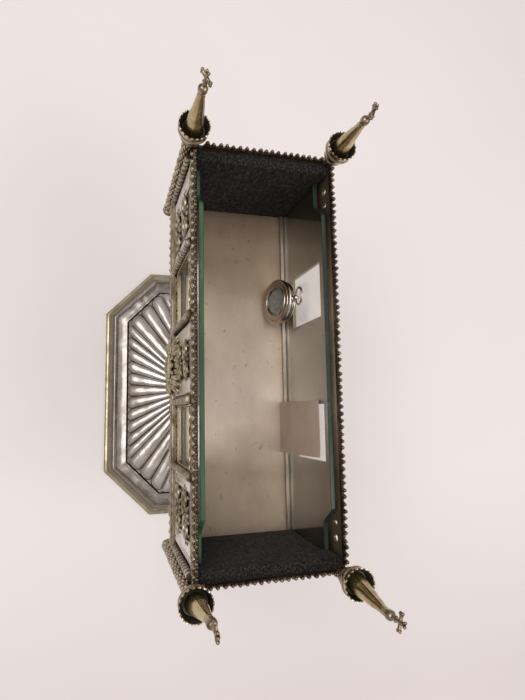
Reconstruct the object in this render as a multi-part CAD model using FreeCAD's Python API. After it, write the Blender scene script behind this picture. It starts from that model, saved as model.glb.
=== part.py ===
import FreeCAD, Part
import os
from math import atan2, ceil, cos, pi, radians, sin, sqrt

# Open-topped display casket on a stem and a lobed foot.
# X runs along the case, -Y is the front, Z is up and 0 is the table.

# Foot
foot_length = 234.0
foot_width = 184.0
foot_chamfer = 42.0
foot_shift = 10.0
border_edge_height = 3.0
border_height = 8.0
border_bevel_width = 8.0
border_ridge_width = 3.0
border_step = 1.2
border_width = 22.0
foot_plate_thickness = 2.0
dome_wall = 3.0
dome_crown_height = 26.0
dome_neck_half = 17.0
dome_crown_thickness = 5.0
skirt_gap = 0.16
lobe_swell = 0.28
skirt_lobe_rise = 0.01
# Lobes on the short side, the chamfer, the long side and the chamfer after it.
lobes_per_side = [7, 3, 11, 3]

# Stem
lower_spool_height = 36.0
spool_end_half = 15.0
spool_waist_half = 8.0
knop_height = 22.0
knop_half = 21.0
knop_shoulder_half = 17.8
knop_seat_half = 11.0
upper_spool_height = 40.0
tie_rod_radius = 3.0
nut_half = 5.5
nut_height = 4.5
rod_end = 2.0

# Case
case_length = 250.0
case_width = 87.6
case_depth = 78.0
wall = 1.6
floor_thickness = 2.0
bearer_depth = 18.0
bearer_wall = 2.0
bearer_inset_x = 9.0
bearer_inset_y = 6.0
bearer_chamfer = 20.0
bearer_seat_half = 16.0

# Windows and piercings in the long walls
window_width = 36.0
window_height = 51.0
window_sill = 12.5
window_centre = 46.0
piercing_drop = 5.4
piercing_height = 5.6
piercing_slit_width = 2.4
piercing_slit_x = 99.0
piercing_hole_width = 4.0
piercing_hole_x = 108.0

# Mouldings, fringe and cresting
moulding_projection = 3.2
moulding_upper_projection = 1.8
moulding_height = 8.0
fringe_height = 13.0
fringe_thickness = 1.4
fringe_lobe_pitch = 5.7
fringe_lobe_height = 2.5
bead_projection = 1.6
bead_height = 3.5
bead_drop = 1.5
cresting_height = 5.5
cresting_lobe_height = 1.9
cresting_lobe_pitch = 4.1

# Colonnettes and cartouche
colonnette_radius = 1.9
colonnette_cap_radius = 2.6
colonnette_cap_height = 3.0
colonnette_spacing = 43.0
colonnette_bury = 0.5
cartouche_width = 36.0
cartouche_height = 38.0
cartouche_thickness = 4.0
cartouche_drop = 20.0
cartouche_shoulder = 16.0
cartouche_cheek_half = 12.6
cartouche_cheek_drop = 4.6
cartouche_crown = 3.8

# Scrollwork on the long walls
relief_margin = 1.0
relief_plate = 0.4
relief_height = 1.1
relief_stalk = 1.8
relief_from_window = 24.7
relief_from_end = 3.5
relief_middle_half = 9.8
relief_middle_rise = 14.0
scroll_pitch = 14.0
scroll_radius = 4.2
scroll_eye_radius = 1.3

# Turrets
turret_out_x = 3.5
turret_out_y = 1.7
shaft_radius = 4.4
shaft_below_floor = 30.0
drop_radius = 4.75
drop_seat = 3.8
drop_neck_radius = 3.6
drop_tip_radius = 1.6
drop_tip_drop = 1.2
turret_rod_radius = 1.2
rod_in_drop = 5.0
cup_foot_radius = 4.6
cup_belly_radius = 7.0
cup_belly_rise = 3.6
cup_rim_radius = 9.25
cup_height = 15.3
cup_wall = 1.2
cup_floor = 9.0
cup_notches = 18
cup_notch_width = 1.2
cup_notch_depth = 1.6
spire_radius = 6.2
spire_height = 34.7
spire_tip_radius = 1.9
# How far each bent spire's tip stands from its axis, in X and Y.
spire_lean = {"front_left": (-0.7, -1.1), "front_right": (-3.1, 1.5)}
spire_lean.update({"back_left": (2.3, -1.8), "back_right": (4.4, -0.5)})
rod_in_spire = 8.0
finial_ball_radius = 2.8
finial_post_radius = 0.9
cross_centre_rise = 12.2
cross_span = 7.6
cross_arm_width = 1.6
cross_thickness = 1.4
cross_lobe_radius = 1.05
finial_turn = {"front_left": 31.0, "front_right": 8.0, "back_left": -13.0, "back_right": -15.0}

# Panes, channels and end pads
pane_thickness = 3.0
pane_to_wall = 1.7
pane_below_rim = 2.7
pane_shoulder_drop = 12.0
pane_shoulder_run = 12.0
pane_shoulder_length = 15.0
channel_base = 1.0
channel_height = 3.0
channel_lip = 2.2
pad_thickness = 6.7
pad_below_rim = 1.5

# Capsule
capsule_x = -46.6
capsule_radius = 16.3
capsule_barrel_radius = 14.4
capsule_thickness = 8.0
capsule_bezel_depth = 2.5
capsule_face_radius = 9.6
capsule_cavity_radius = 12.0
capsule_back = 1.2
capsule_band = 1.6
capsule_lean = 20.0
crystal_radius = 10.8
crystal_thickness = 1.2
dial_thickness = 0.6
pendant_y = 0.5
pendant_neck_radius = 1.6
pendant_neck_length = 2.6
pendant_knob_radius = 2.0
pendant_knob_rise = 1.2
bow_radius = 5.8
bow_wire_radius = 0.8
bow_hole_radius = 1.5

# Card
card_x = 43.5
card_width = 35.6
card_height = 62.5
card_thickness = 0.4
card_foot_out = 4.5
card_bulge = 1.6

# Clearances
bore_gap = 0.1
running_gap = 0.05
seat_gap = 0.3
turret_gap = 0.05

# Heights, stacked from the table
z_dome = foot_plate_thickness
z_crown = border_height + dome_crown_height
z_knop = z_crown + lower_spool_height
z_upper_spool = z_knop + knop_height
z_bearer = z_upper_spool + upper_spool_height
z_floor_under = z_bearer + bearer_depth
z_floor = z_floor_under + floor_thickness
z_rim = z_floor + case_depth
z_moulding = z_floor_under - moulding_height / 2
z_moulding_top = z_floor_under + moulding_height / 2
z_bead = z_rim - bead_drop - bead_height
z_shaft = z_floor - shaft_below_floor
z_cup = z_rim
z_spire = z_cup + cup_floor + seat_gap

# Half sizes of the case
half_x = case_length / 2
half_y = case_width / 2
inner_x = half_x - wall
inner_y = half_y - wall
pad_face_x = inner_x - pad_thickness
pane_outer_y = inner_y - pane_to_wall
pane_inner_y = pane_outer_y - pane_thickness
turret_x = half_x + turret_out_x
turret_y = half_y + turret_out_y

corners = {"front_left": (-1, -1), "front_right": (1, -1), "back_left": (-1, 1), "back_right": (1, 1)}
up = FreeCAD.Vector(0, 0, 1)


def point(x, y, z):
    return FreeCAD.Vector(x, y, z)


def box(x0, x1, y0, y1, z0, z1):
    return Part.makeBox(x1 - x0, y1 - y0, z1 - z0, point(x0, y0, z0))


def rod(radius, z0, z1, x=0.0, y=0.0):
    return Part.makeCylinder(radius, z1 - z0, point(x, y, z0), up)


def octagon(reach_x, reach_y, chamfer, z):
    """The eight corners of a rectangle with cut corners, anticlockwise."""
    cut_x = reach_x - chamfer
    cut_y = reach_y - chamfer
    flat = [(reach_x, -cut_y), (reach_x, cut_y), (cut_x, reach_y), (-cut_x, reach_y)]
    return [point(x, y, z) for x, y in flat + [(-x, -y) for x, y in flat]]


def inset_octagon(inset, z):
    """The foot's outline drawn in by an inset, at a height."""
    chamfer = foot_chamfer - inset * (2 - sqrt(2))
    return octagon(foot_length / 2 - inset, foot_width / 2 - inset, chamfer, z)


def regular_octagon(half, z):
    return octagon(half, half, half * (2 - sqrt(2)), z)


def ring_wire(corner_points):
    return Part.makePolygon(corner_points + corner_points[:1])


def prism(corner_points, height):
    return Part.Face(ring_wire(corner_points)).extrude(up * height)


def stack(outlines):
    """A straight-sided solid through outlines that have the same number of corners."""
    return Part.makeLoft([ring_wire(outline) for outline in outlines], True, True)


def frame_ring(outward, z0, z1):
    """A rectangular ring that grips the case's four walls."""
    outer = box(-half_x - outward, half_x + outward, -half_y - outward, half_y + outward, z0, z1)
    return outer.cut(box(-half_x, half_x, -half_y, half_y, z0, z1))


def clear_of_shafts(shape):
    """Cuts the four corner shafts' places out of a piece."""
    for side_x, side_y in corners.values():
        place = rod(shaft_radius + turret_gap, z_shaft, z_cup, side_x * turret_x, side_y * turret_y)
        shape = shape.cut(place)
    return shape


def scalloped_strip(length, height, lobe_height, pitch, thickness):
    """An upright strip along X, from z = 0, whose top edge is a row of round lobes."""
    count = ceil(length / pitch)
    step = length / count
    straight = height - lobe_height
    corners_below = [point(-length / 2, 0, straight), point(-length / 2, 0, 0)]
    corners_below += [point(length / 2, 0, 0), point(length / 2, 0, straight)]
    edges = [Part.makeLine(a, b) for a, b in zip(corners_below, corners_below[1:])]
    for number in range(count):
        start = length / 2 - number * step
        tip = point(start - step / 2, 0, height)
        edges.append(Part.Arc(point(start, 0, straight), tip, point(start - step, 0, straight)).toShape())
    strip = Part.Face(Part.Wire(edges)).extrude(point(0, thickness, 0))
    strip.translate(point(0, -thickness / 2, 0))
    return strip


def turned(profile):
    """A solid of revolution about Z from (radius, z) points."""
    face = Part.Face(ring_wire([point(radius, 0, z) for radius, z in profile]))
    return face.revolve(point(0, 0, 0), up, 360)


def make_foot_border():
    edge = prism(inset_octagon(0, 0), border_edge_height)
    bevel = stack([inset_octagon(0, border_edge_height), inset_octagon(border_bevel_width, border_height)])
    band = inset_octagon(border_bevel_width + border_ridge_width, border_height - border_step)
    hole = prism(inset_octagon(border_width, 0), border_height)
    return edge.fuse(bevel).cut(prism(band, border_height)).cut(hole).removeSplitter()


def make_foot_base_plate():
    return prism(inset_octagon(border_width + bore_gap, 0), foot_plate_thickness)


def dome_level(share, inset, z):
    """Corners of the dome at a share of the way from the border to the neck."""
    start = border_width + bore_gap
    outer_chamfer = foot_chamfer - start * (2 - sqrt(2))
    neck = dome_neck_half
    reach_x = (foot_length / 2 - start) * (1 - share) + neck * share - inset
    reach_y = (foot_width / 2 - start) * (1 - share) + neck * share - inset
    chamfer = outer_chamfer * (1 - share) + neck * (2 - sqrt(2)) * share - inset * (2 - sqrt(2))
    return octagon(reach_x, reach_y, chamfer, z)


def lobed_wire(corner_points, rise, swell):
    """A closed wire of arcs, one for each lobe along the octagon's sides.

    Rise and swell are how far an arc bows outwards and upwards, as shares of its width.
    """
    edges = []
    for number, lobes in enumerate(lobes_per_side * 2):
        start = corner_points[number]
        run = corner_points[(number + 1) % len(corner_points)] - start
        outward = point(run.y, -run.x, 0).normalize()
        for lobe in range(lobes):
            near = start + run * (lobe / lobes)
            far = start + run * ((lobe + 1) / lobes)
            width = (far - near).Length
            peak = (near + far) / 2 + outward * (rise * width) + up * (swell * width)
            edges.append(Part.Arc(near, peak, far).toShape())
    return Part.Wire(edges)


def make_foot_dome():
    # Share of the way to the neck, share of the crown's height, and share of a lobe's full height.
    shape_points = [(0.0, -0.06, 0.0), (0.04, 0.04, 0.55), (0.12, 0.14, 1.0)]
    shape_points += [(0.42, 0.38, 1.0), (0.75, 0.63, 0.9), (1.0, 1.0, 0.0)]
    skirt_inset = bore_gap + skirt_gap
    outer = [lobed_wire(dome_level(0.0, skirt_inset, z_dome), skirt_lobe_rise, 0)]
    inner = [dome_level(0.0, dome_wall + skirt_inset, z_dome)]
    for share, lift, swell in shape_points:
        z = border_height + lift * dome_crown_height
        outer.append(lobed_wire(dome_level(share, skirt_inset, z), skirt_lobe_rise, lobe_swell * swell))
        if z - dome_crown_thickness > z_dome + dome_wall:
            inner.append(dome_level(share, dome_wall + skirt_inset, z - dome_crown_thickness))
    shell = Part.makeLoft(outer, True, True).cut(stack(inner))
    return shell.cut(rod(tie_rod_radius + bore_gap, z_dome, z_crown))


def make_spool(z0, height, low_half, high_half):
    # Share of the height, and half width there.
    levels = [(0.0, low_half), (0.12, low_half), (0.3, spool_waist_half), (0.75, spool_waist_half)]
    levels += [(0.9, high_half), (1.0, high_half)]
    spool = stack([regular_octagon(half, z0 + height * share) for share, half in levels])
    return spool.cut(rod(tie_rod_radius + bore_gap, z0, z0 + height))


def make_knop():
    # Share of the height, and half width there.
    levels = [(0.0, knop_seat_half), (0.25, knop_shoulder_half), (0.5, knop_half)]
    levels += [(0.75, knop_shoulder_half), (1.0, knop_seat_half)]
    knop = stack([regular_octagon(half, z_knop + knop_height * share) for share, half in levels])
    return knop.cut(rod(tie_rod_radius + bore_gap, z_knop, z_upper_spool))


def make_tie_rod():
    low = z_crown - dome_crown_thickness - nut_height - rod_end
    high = z_bearer + bearer_wall + nut_height + rod_end
    return rod(tie_rod_radius, low, high)


def make_tie_rod_nuts():
    nuts = []
    for z in (z_crown - dome_crown_thickness - nut_height, z_bearer + bearer_wall):
        corner_points = [point(nut_half * cos(k * pi / 3), nut_half * sin(k * pi / 3), z) for k in range(6)]
        nut = prism(corner_points, nut_height)
        nuts.append(nut.cut(rod(tie_rod_radius + bore_gap, z, z + nut_height)))
    return Part.makeCompound(nuts)


def make_case_bearer():
    top_x = half_x - bearer_inset_x
    top_y = half_y - bearer_inset_y
    seat = point(foot_shift, 0, 0)
    bottom = [corner + seat for corner in regular_octagon(bearer_seat_half, z_bearer)]
    top = octagon(top_x, top_y, bearer_chamfer, z_floor_under)
    hollow_half = bearer_seat_half - bearer_wall
    hollow_bottom = [corner + seat for corner in regular_octagon(hollow_half, z_bearer + bearer_wall)]
    hollow_top = octagon(top_x - 2 * bearer_wall, top_y - 2 * bearer_wall, bearer_chamfer, z_floor_under)
    shell = stack([bottom, top]).cut(stack([hollow_bottom, hollow_top]))
    return shell.cut(rod(tie_rod_radius + bore_gap, z_bearer, z_bearer + bearer_wall, foot_shift))


def upright_slot(width, x, y):
    """The space of a round-ended piercing near the top of a long wall."""
    radius = width / 2
    high = z_rim - piercing_drop - radius
    low = high - piercing_height + width
    ends = [Part.makeCylinder(radius, wall, point(x, y, z), point(0, 1, 0)) for z in (low, high)]
    return box(x - radius, x + radius, y, y + wall, low, high).fuse(ends)


def make_long_wall(side):
    """The front wall for side -1, the back wall for side 1."""
    near, far = sorted((side * half_y, side * inner_y))
    panel = box(-half_x, half_x, near, far, z_floor_under, z_rim)
    sill = z_floor + window_sill
    for end in (-1, 1):
        middle = end * window_centre
        left = middle - window_width / 2
        panel = panel.cut(box(left, left + window_width, near, far, sill, sill + window_height))
        panel = panel.cut(upright_slot(piercing_slit_width, end * piercing_slit_x, near))
        panel = panel.cut(upright_slot(piercing_hole_width, end * piercing_hole_x, near))
    return clear_of_shafts(panel)


def make_end_wall(end):
    near, far = sorted((end * half_x, end * inner_x))
    return box(near, far, -inner_y, inner_y, z_floor_under, z_rim)


def make_case_floor():
    return box(-inner_x, inner_x, -inner_y, inner_y, z_floor_under, z_floor)


def make_base_moulding():
    lower = frame_ring(moulding_projection, z_moulding, z_floor_under)
    upper = frame_ring(moulding_upper_projection, z_floor_under, z_moulding_top)
    return clear_of_shafts(lower.fuse(upper).removeSplitter())


def make_rim_bead():
    return clear_of_shafts(frame_ring(bead_projection, z_bead, z_bead + bead_height))


def fringe_strip(length):
    """A strip along X that hangs down from z = 0 and ends in round lobes."""
    strip = scalloped_strip(length, fringe_height, fringe_lobe_height, fringe_lobe_pitch, fringe_thickness)
    strip.rotate(point(0, 0, 0), point(1, 0, 0), 180)
    return strip


def make_lower_fringe():
    """Four hanging strips under the base moulding, from shaft to shaft."""
    out = moulding_projection - fringe_thickness / 2
    reach = shaft_radius + seat_gap
    strips = []
    for side in (-1, 1):
        long_strip = fringe_strip(2 * (turret_x - reach))
        long_strip.translate(point(0, side * (half_y + out), z_moulding))
        short_strip = fringe_strip(2 * (turret_y - reach))
        short_strip.rotate(point(0, 0, 0), up, 90)
        short_strip.translate(point(side * (half_x + out), 0, z_moulding))
        strips += [long_strip, short_strip]
    return Part.makeCompound(strips)


def make_cresting(length, x, y, turn):
    strip = scalloped_strip(length, cresting_height, cresting_lobe_height, cresting_lobe_pitch, wall)
    strip.rotate(point(0, 0, 0), up, turn)
    strip.translate(point(x, y, z_rim))
    return strip


def make_window_colonnettes(side):
    """Four columns on the outer face of a long wall, one at each window jamb."""
    near, far = sorted((side * (half_y - colonnette_cap_radius * 2), side * half_y))
    inside = box(-half_x, half_x, near, far, z_moulding_top, z_bead)
    y = side * (half_y + colonnette_radius - colonnette_bury)
    columns = []
    for end in (-1, 1):
        for jamb in (-1, 1):
            x = end * window_centre + jamb * colonnette_spacing / 2
            column = rod(colonnette_radius, z_moulding_top, z_bead, x, y)
            foot = rod(colonnette_cap_radius, z_moulding_top, z_moulding_top + colonnette_cap_height, x, y)
            cap = rod(colonnette_cap_radius, z_bead - colonnette_cap_height, z_bead, x, y)
            columns.append(column.fuse([foot, cap]).removeSplitter().cut(inside))
    return Part.makeCompound(columns)


def make_cartouche(side):
    """A shield on the middle of a long side, against the base moulding."""
    reach = cartouche_width / 2
    low = z_moulding - cartouche_drop
    high = low + cartouche_height
    shoulder = high - cartouche_shoulder
    belly = (low + shoulder) / 2 - cartouche_cheek_drop
    top_left = point(-reach, 0, high)
    top_right = point(reach, 0, high)
    right = point(reach, 0, shoulder)
    left = point(-reach, 0, shoulder)
    tip = point(0, 0, low)
    edges = [Part.makeLine(top_left, left)]
    edges.append(Part.Arc(left, point(-cartouche_cheek_half, 0, belly), tip).toShape())
    edges.append(Part.Arc(tip, point(cartouche_cheek_half, 0, belly), right).toShape())
    edges.append(Part.makeLine(right, top_right))
    edges.append(Part.Arc(top_right, point(0, 0, high + cartouche_crown), top_left).toShape())
    shield = Part.Face(Part.Wire(edges)).extrude(point(0, side * cartouche_thickness, 0))
    shield.translate(point(0, side * (half_y + moulding_projection), 0))
    return shield


def boss(radius, x, z):
    """A round boss that stands out towards -Y from y = 0."""
    return Part.makeCylinder(radius, relief_height, point(x, -relief_height, z), point(0, 1, 0))


def scroll_column(left, right, low, high):
    """A thin plate facing -Y at y = 0, with a stalk and a pair of scrolls on each tier."""
    middle = (left + right) / 2
    tiers = round((high - low) / scroll_pitch)
    tall = (high - low) / tiers
    column = box(left, right, -relief_plate, 0, low, high)
    radius = min(scroll_radius, (right - left) / 4)
    pieces = [box(middle - relief_stalk / 2, middle + relief_stalk / 2, -relief_height, 0, low, high)]
    for tier in range(tiers):
        z = low + (tier + 0.5) * tall
        for x in ((left + middle) / 2, (middle + right) / 2):
            pieces += [boss(radius, x, z).cut(boss(radius / 2, x, z)), boss(scroll_eye_radius, x, z)]
    return column.fuse(pieces).removeSplitter()


def make_scrollwork(side):
    """Columns of scrolls on a long wall's end panels and middle."""
    low = z_moulding_top + relief_margin
    high = z_rim - piercing_drop - piercing_height - relief_margin
    inner = window_centre + relief_from_window
    outer = half_x - relief_from_end
    split = (inner + outer) / 2
    spans = [(inner, split, low), (split, outer, low), (-split, -inner, low), (-outer, -split, low)]
    spans.append((-relief_middle_half, relief_middle_half, low + relief_middle_rise))
    columns = []
    for left, right, foot in spans:
        column = scroll_column(left + relief_margin / 2, right - relief_margin / 2, foot, high)
        if side > 0:
            column.rotate(point(0, 0, 0), up, 180)
        column.translate(point(0, side * half_y, 0))
        columns.append(column)
    return Part.makeCompound(columns)


def make_turret_shaft(x, y):
    shaft = rod(shaft_radius, z_shaft, z_cup, x, y)
    return shaft.cut(rod(turret_rod_radius + bore_gap, z_shaft, z_cup, x, y))


def make_turret_pendant(x, y):
    ball_z = z_shaft - drop_seat
    ball = Part.makeSphere(drop_radius, point(x, y, ball_z))
    tip = Part.makeSphere(drop_tip_radius, point(x, y, ball_z - drop_radius - drop_tip_drop / 2))
    neck = rod(drop_neck_radius, ball_z, z_shaft, x, y)
    pendant = ball.fuse([tip, neck]).removeSplitter()
    above = rod(2 * drop_radius, z_shaft, z_shaft + 2 * drop_radius, x, y)
    socket = rod(turret_rod_radius + bore_gap, z_shaft - rod_in_drop, z_shaft, x, y)
    return pendant.cut(above).cut(socket)


def make_turret_rod(x, y):
    return rod(turret_rod_radius, z_shaft - rod_in_drop, z_spire + rod_in_spire, x, y)


def make_turret_cup(x, y):
    """A flared cup with a notched rim."""
    flare = (cup_rim_radius - cup_belly_radius) / (cup_height - cup_belly_rise)
    inner_foot = cup_belly_radius + flare * (cup_floor - cup_belly_rise) - cup_wall
    rim = z_cup + cup_height
    belly = z_cup + cup_belly_rise
    bore = turret_rod_radius + bore_gap
    profile = [(bore, z_cup), (cup_foot_radius, z_cup), (cup_belly_radius, belly), (cup_rim_radius, rim)]
    profile += [(cup_rim_radius - cup_wall, rim), (inner_foot, z_cup + cup_floor), (bore, z_cup + cup_floor)]
    cup = turned(profile)
    half_notch = cup_notch_width / 2
    for number in range(cup_notches):
        notch = box(inner_foot, 2 * cup_rim_radius, -half_notch, half_notch, rim - cup_notch_depth, rim)
        notch.rotate(point(0, 0, 0), up, number * 360 / cup_notches)
        cup = cup.cut(notch)
    cup.translate(point(x, y, 0))
    return cup


def make_turret_spire(x, y, lean):
    """A slightly bent cone that turns on the turret's rod."""
    tip = point(lean[0], lean[1], z_spire + spire_height)
    base_ring = Part.Wire(Part.Circle(point(0, 0, z_spire), up, spire_radius).toShape())
    tip_ring = Part.Wire(Part.Circle(tip, up, spire_tip_radius).toShape())
    spire = Part.makeLoft([base_ring, tip_ring], True, True)
    spire = spire.cut(rod(turret_rod_radius + running_gap, z_spire, z_spire + rod_in_spire + seat_gap))
    spire.translate(point(x, y, 0))
    return spire


def make_turret_finial(x, y, turn, lean):
    """A ball and a cross with forked arm ends."""
    foot = z_spire + spire_height
    ball_z = foot + finial_ball_radius
    centre = foot + cross_centre_rise
    reach = cross_span / 2
    arm = cross_arm_width / 2
    thick = cross_thickness / 2
    ball = Part.makeSphere(finial_ball_radius, point(0, 0, ball_z))
    post_top = centre - reach + cross_lobe_radius
    pieces = [rod(spire_tip_radius, foot, ball_z), rod(finial_post_radius, ball_z, post_top)]
    pieces.append(box(-reach, reach, -thick, thick, centre - arm, centre + arm))
    pieces.append(box(-arm, arm, -thick, thick, centre - reach, centre + reach))
    for quarter in range(4):
        for fork in (-1, 1):
            start = point(reach, -thick, fork * arm)
            lobe = Part.makeCylinder(cross_lobe_radius, cross_thickness, start, point(0, 1, 0))
            lobe.rotate(point(0, 0, 0), point(0, 1, 0), quarter * 90)
            lobe.translate(point(0, 0, centre))
            pieces.append(lobe)
    finial = ball.fuse(pieces)
    finial.rotate(point(0, 0, 0), up, turn)
    finial.translate(point(x + lean[0], y + lean[1], 0))
    return finial


def shoulder_curve(start, end):
    """Two equal arcs from start to end in the XZ plane, level where they begin and finish."""
    run = end.x - start.x
    drop = end.z - start.z
    radius = (run * run + drop * drop) / (4 * abs(drop))
    half_turn = atan2(abs(drop), abs(run))
    step_x = radius * sin(half_turn) * run / abs(run)
    step_z = radius * (1 - cos(half_turn)) * drop / abs(drop)
    step = point(step_x, 0, step_z)
    middle = (start + end) / 2
    return [Part.Arc(start, start + step, middle).toShape(), Part.Arc(middle, end - step, end).toShape()]


def make_pane(side):
    """A loose glass pane with a lower shoulder at each end."""
    reach = pad_face_x - seat_gap
    low = z_floor + channel_base
    high = z_rim - pane_below_rim
    shoulder = high - pane_shoulder_drop
    curve_end = reach - pane_shoulder_length
    curve_start = curve_end - pane_shoulder_run
    y = side * (pane_inner_y if side > 0 else pane_outer_y)
    edges = [Part.makeLine(point(-reach, y, shoulder), point(-reach, y, low))]
    edges.append(Part.makeLine(point(-reach, y, low), point(reach, y, low)))
    edges.append(Part.makeLine(point(reach, y, low), point(reach, y, shoulder)))
    edges.append(Part.makeLine(point(reach, y, shoulder), point(curve_end, y, shoulder)))
    edges += shoulder_curve(point(curve_end, y, shoulder), point(curve_start, y, high))
    edges.append(Part.makeLine(point(curve_start, y, high), point(-curve_start, y, high)))
    edges += shoulder_curve(point(-curve_start, y, high), point(-curve_end, y, shoulder))
    edges.append(Part.makeLine(point(-curve_end, y, shoulder), point(-reach, y, shoulder)))
    return Part.Face(Part.Wire(edges)).extrude(point(0, pane_thickness, 0))


def make_glass_channel(side):
    """A floor channel with a lip on each side of the pane."""
    reach = pad_face_x
    low, high = sorted((side * (pane_inner_y - seat_gap - channel_lip), side * inner_y))
    channel = box(-reach, reach, low, high, z_floor, z_floor + channel_height)
    low, high = sorted((side * (pane_inner_y - seat_gap), side * (pane_outer_y + seat_gap)))
    return channel.cut(box(-reach, reach, low, high, z_floor + channel_base, z_floor + channel_height))


def make_end_pad(end):
    near, far = sorted((end * pad_face_x, end * inner_x))
    return box(near, far, -inner_y, inner_y, z_floor, z_rim - pad_below_rim)


def place_capsule(shape):
    """Leans a piece made upright, facing -Y, until its band is on the floor and its back on the pane."""
    lean = radians(capsule_lean)
    band_radius = capsule_barrel_radius + capsule_band / 2
    below = band_radius * cos(lean) + (capsule_thickness / 2 - capsule_band) * sin(lean)
    behind = capsule_thickness / 2 * cos(lean) + capsule_barrel_radius * sin(lean)
    shape.rotate(point(0, 0, 0), point(1, 0, 0), -capsule_lean)
    shape.translate(point(capsule_x, pane_inner_y - seat_gap - behind, z_floor + seat_gap + below))
    return shape


def turned_about_y(profile):
    """A solid of revolution about the capsule's axis from (radius, y) points."""
    solid = turned(profile)
    solid.rotate(point(0, 0, 0), point(1, 0, 0), -90)
    return solid


def make_capsule_case():
    back = capsule_thickness / 2
    front = capsule_bezel_depth - back
    band_radius = capsule_barrel_radius + capsule_band / 2
    profile = [(0, back), (capsule_barrel_radius, back), (capsule_barrel_radius, back - capsule_band)]
    profile += [(band_radius, back - capsule_band), (band_radius, back - 2 * capsule_band)]
    profile += [(capsule_barrel_radius, back - 2 * capsule_band), (capsule_barrel_radius, front)]
    profile += [(capsule_cavity_radius, front), (capsule_cavity_radius, back - capsule_back)]
    profile.append((0, back - capsule_back))
    barrel = turned_about_y(profile)
    socket = rod(pendant_neck_radius, 0, 2 * capsule_barrel_radius, 0, pendant_y)
    return place_capsule(barrel.cut(socket))


def make_capsule_bezel():
    front = -capsule_thickness / 2
    back = front + capsule_bezel_depth
    seat = crystal_radius + bore_gap
    lip = front + capsule_bezel_depth - crystal_thickness
    profile = [(capsule_face_radius, front), (capsule_radius, front + capsule_bezel_depth / 2)]
    profile += [(capsule_radius, back), (seat, back), (seat, lip), (capsule_face_radius, lip)]
    return place_capsule(turned_about_y(profile))


def make_capsule_crystal():
    back = capsule_bezel_depth - capsule_thickness / 2
    front = back - crystal_thickness
    profile = [(0, front), (crystal_radius, front), (crystal_radius, back), (0, back)]
    return place_capsule(turned_about_y(profile))


def make_capsule_dial():
    back = capsule_thickness / 2 - capsule_back
    front = back - dial_thickness
    edge = capsule_cavity_radius - bore_gap
    return place_capsule(turned_about_y([(0, front), (edge, front), (edge, back), (0, back)]))


def knob_height():
    """Height of the knob's middle above the capsule's middle."""
    return capsule_barrel_radius + pendant_neck_length + pendant_knob_rise


def make_capsule_pendant():
    neck = rod(pendant_neck_radius, capsule_barrel_radius - capsule_band, knob_height(), 0, pendant_y)
    knob = Part.makeSphere(pendant_knob_radius, point(0, pendant_y, knob_height()))
    hole_start = point(-2 * pendant_knob_radius, pendant_y, knob_height())
    hole = Part.makeCylinder(bow_hole_radius, 4 * pendant_knob_radius, hole_start, point(1, 0, 0))
    pendant = neck.fuse(knob).removeSplitter().cut(hole)
    front = point(0, -capsule_thickness / 2, 0)
    cavity = Part.makeCylinder(capsule_cavity_radius, capsule_thickness, front, point(0, 1, 0))
    return place_capsule(pendant.cut(cavity))


def make_capsule_bow():
    """A ring through the knob that stands upright on the leaning capsule."""
    knob = point(0, pendant_y, knob_height())
    ring = Part.makeTorus(bow_radius, bow_wire_radius, knob + up * bow_radius, point(0, 1, 0))
    ring.rotate(knob, point(1, 0, 0), capsule_lean)
    return place_capsule(ring)


def make_label_card():
    """A curled card that stands on the floor and leans on the back pane."""
    low = z_floor + seat_gap
    high = low + card_height
    top_y = pane_inner_y - seat_gap - card_thickness
    foot_y = top_y - card_foot_out
    middle_y = (top_y + foot_y) / 2 - card_bulge
    start = point(0, foot_y, low)
    end = point(0, top_y, high)
    shift = point(0, card_thickness, 0)
    middle = point(0, middle_y, (low + high) / 2)
    edges = [Part.Arc(start, middle, end).toShape(), Part.makeLine(end, end + shift)]
    edges.append(Part.Arc(end + shift, middle + shift, start + shift).toShape())
    edges.append(Part.makeLine(start + shift, start))
    card = Part.Face(Part.Wire(edges)).extrude(point(card_width, 0, 0))
    card.translate(point(card_x - card_width / 2, 0, 0))
    return card


def make_foot_and_stem():
    """The foot and stem stand a little off the middle of the case."""
    pieces = {
        "foot_border": make_foot_border(),
        "foot_base_plate": make_foot_base_plate(),
        "foot_dome": make_foot_dome(),
        "stem_lower_spool": make_spool(z_crown, lower_spool_height, spool_end_half, knop_seat_half),
        "stem_knop": make_knop(),
        "stem_upper_spool": make_spool(z_upper_spool, upper_spool_height, knop_seat_half, spool_end_half),
        "tie_rod": make_tie_rod(),
        "tie_rod_nuts": make_tie_rod_nuts(),
    }
    for shape in pieces.values():
        shape.translate(point(foot_shift, 0, 0))
    pieces["case_bearer"] = make_case_bearer()
    return pieces


def make_case():
    crest_long = 2 * (turret_x - cup_belly_radius - seat_gap)
    crest_short = 2 * (turret_y - cup_belly_radius - seat_gap)
    crest_y = half_y - wall / 2
    crest_x = half_x - wall / 2
    return {
        "front_wall": make_long_wall(-1),
        "back_wall": make_long_wall(1),
        "left_end_wall": make_end_wall(-1),
        "right_end_wall": make_end_wall(1),
        "case_floor": make_case_floor(),
        "base_moulding": make_base_moulding(),
        "rim_bead": make_rim_bead(),
        "lower_fringe": make_lower_fringe(),
        "front_cresting": make_cresting(crest_long, 0, -crest_y, 0),
        "back_cresting": make_cresting(crest_long, 0, crest_y, 0),
        "left_cresting": make_cresting(crest_short, -crest_x, 0, 90),
        "right_cresting": make_cresting(crest_short, crest_x, 0, 90),
        "front_window_colonnettes": make_window_colonnettes(-1),
        "back_window_colonnettes": make_window_colonnettes(1),
        "front_scrollwork": make_scrollwork(-1),
        "back_scrollwork": make_scrollwork(1),
        "front_cartouche": make_cartouche(-1),
        "back_cartouche": make_cartouche(1),
    }


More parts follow.
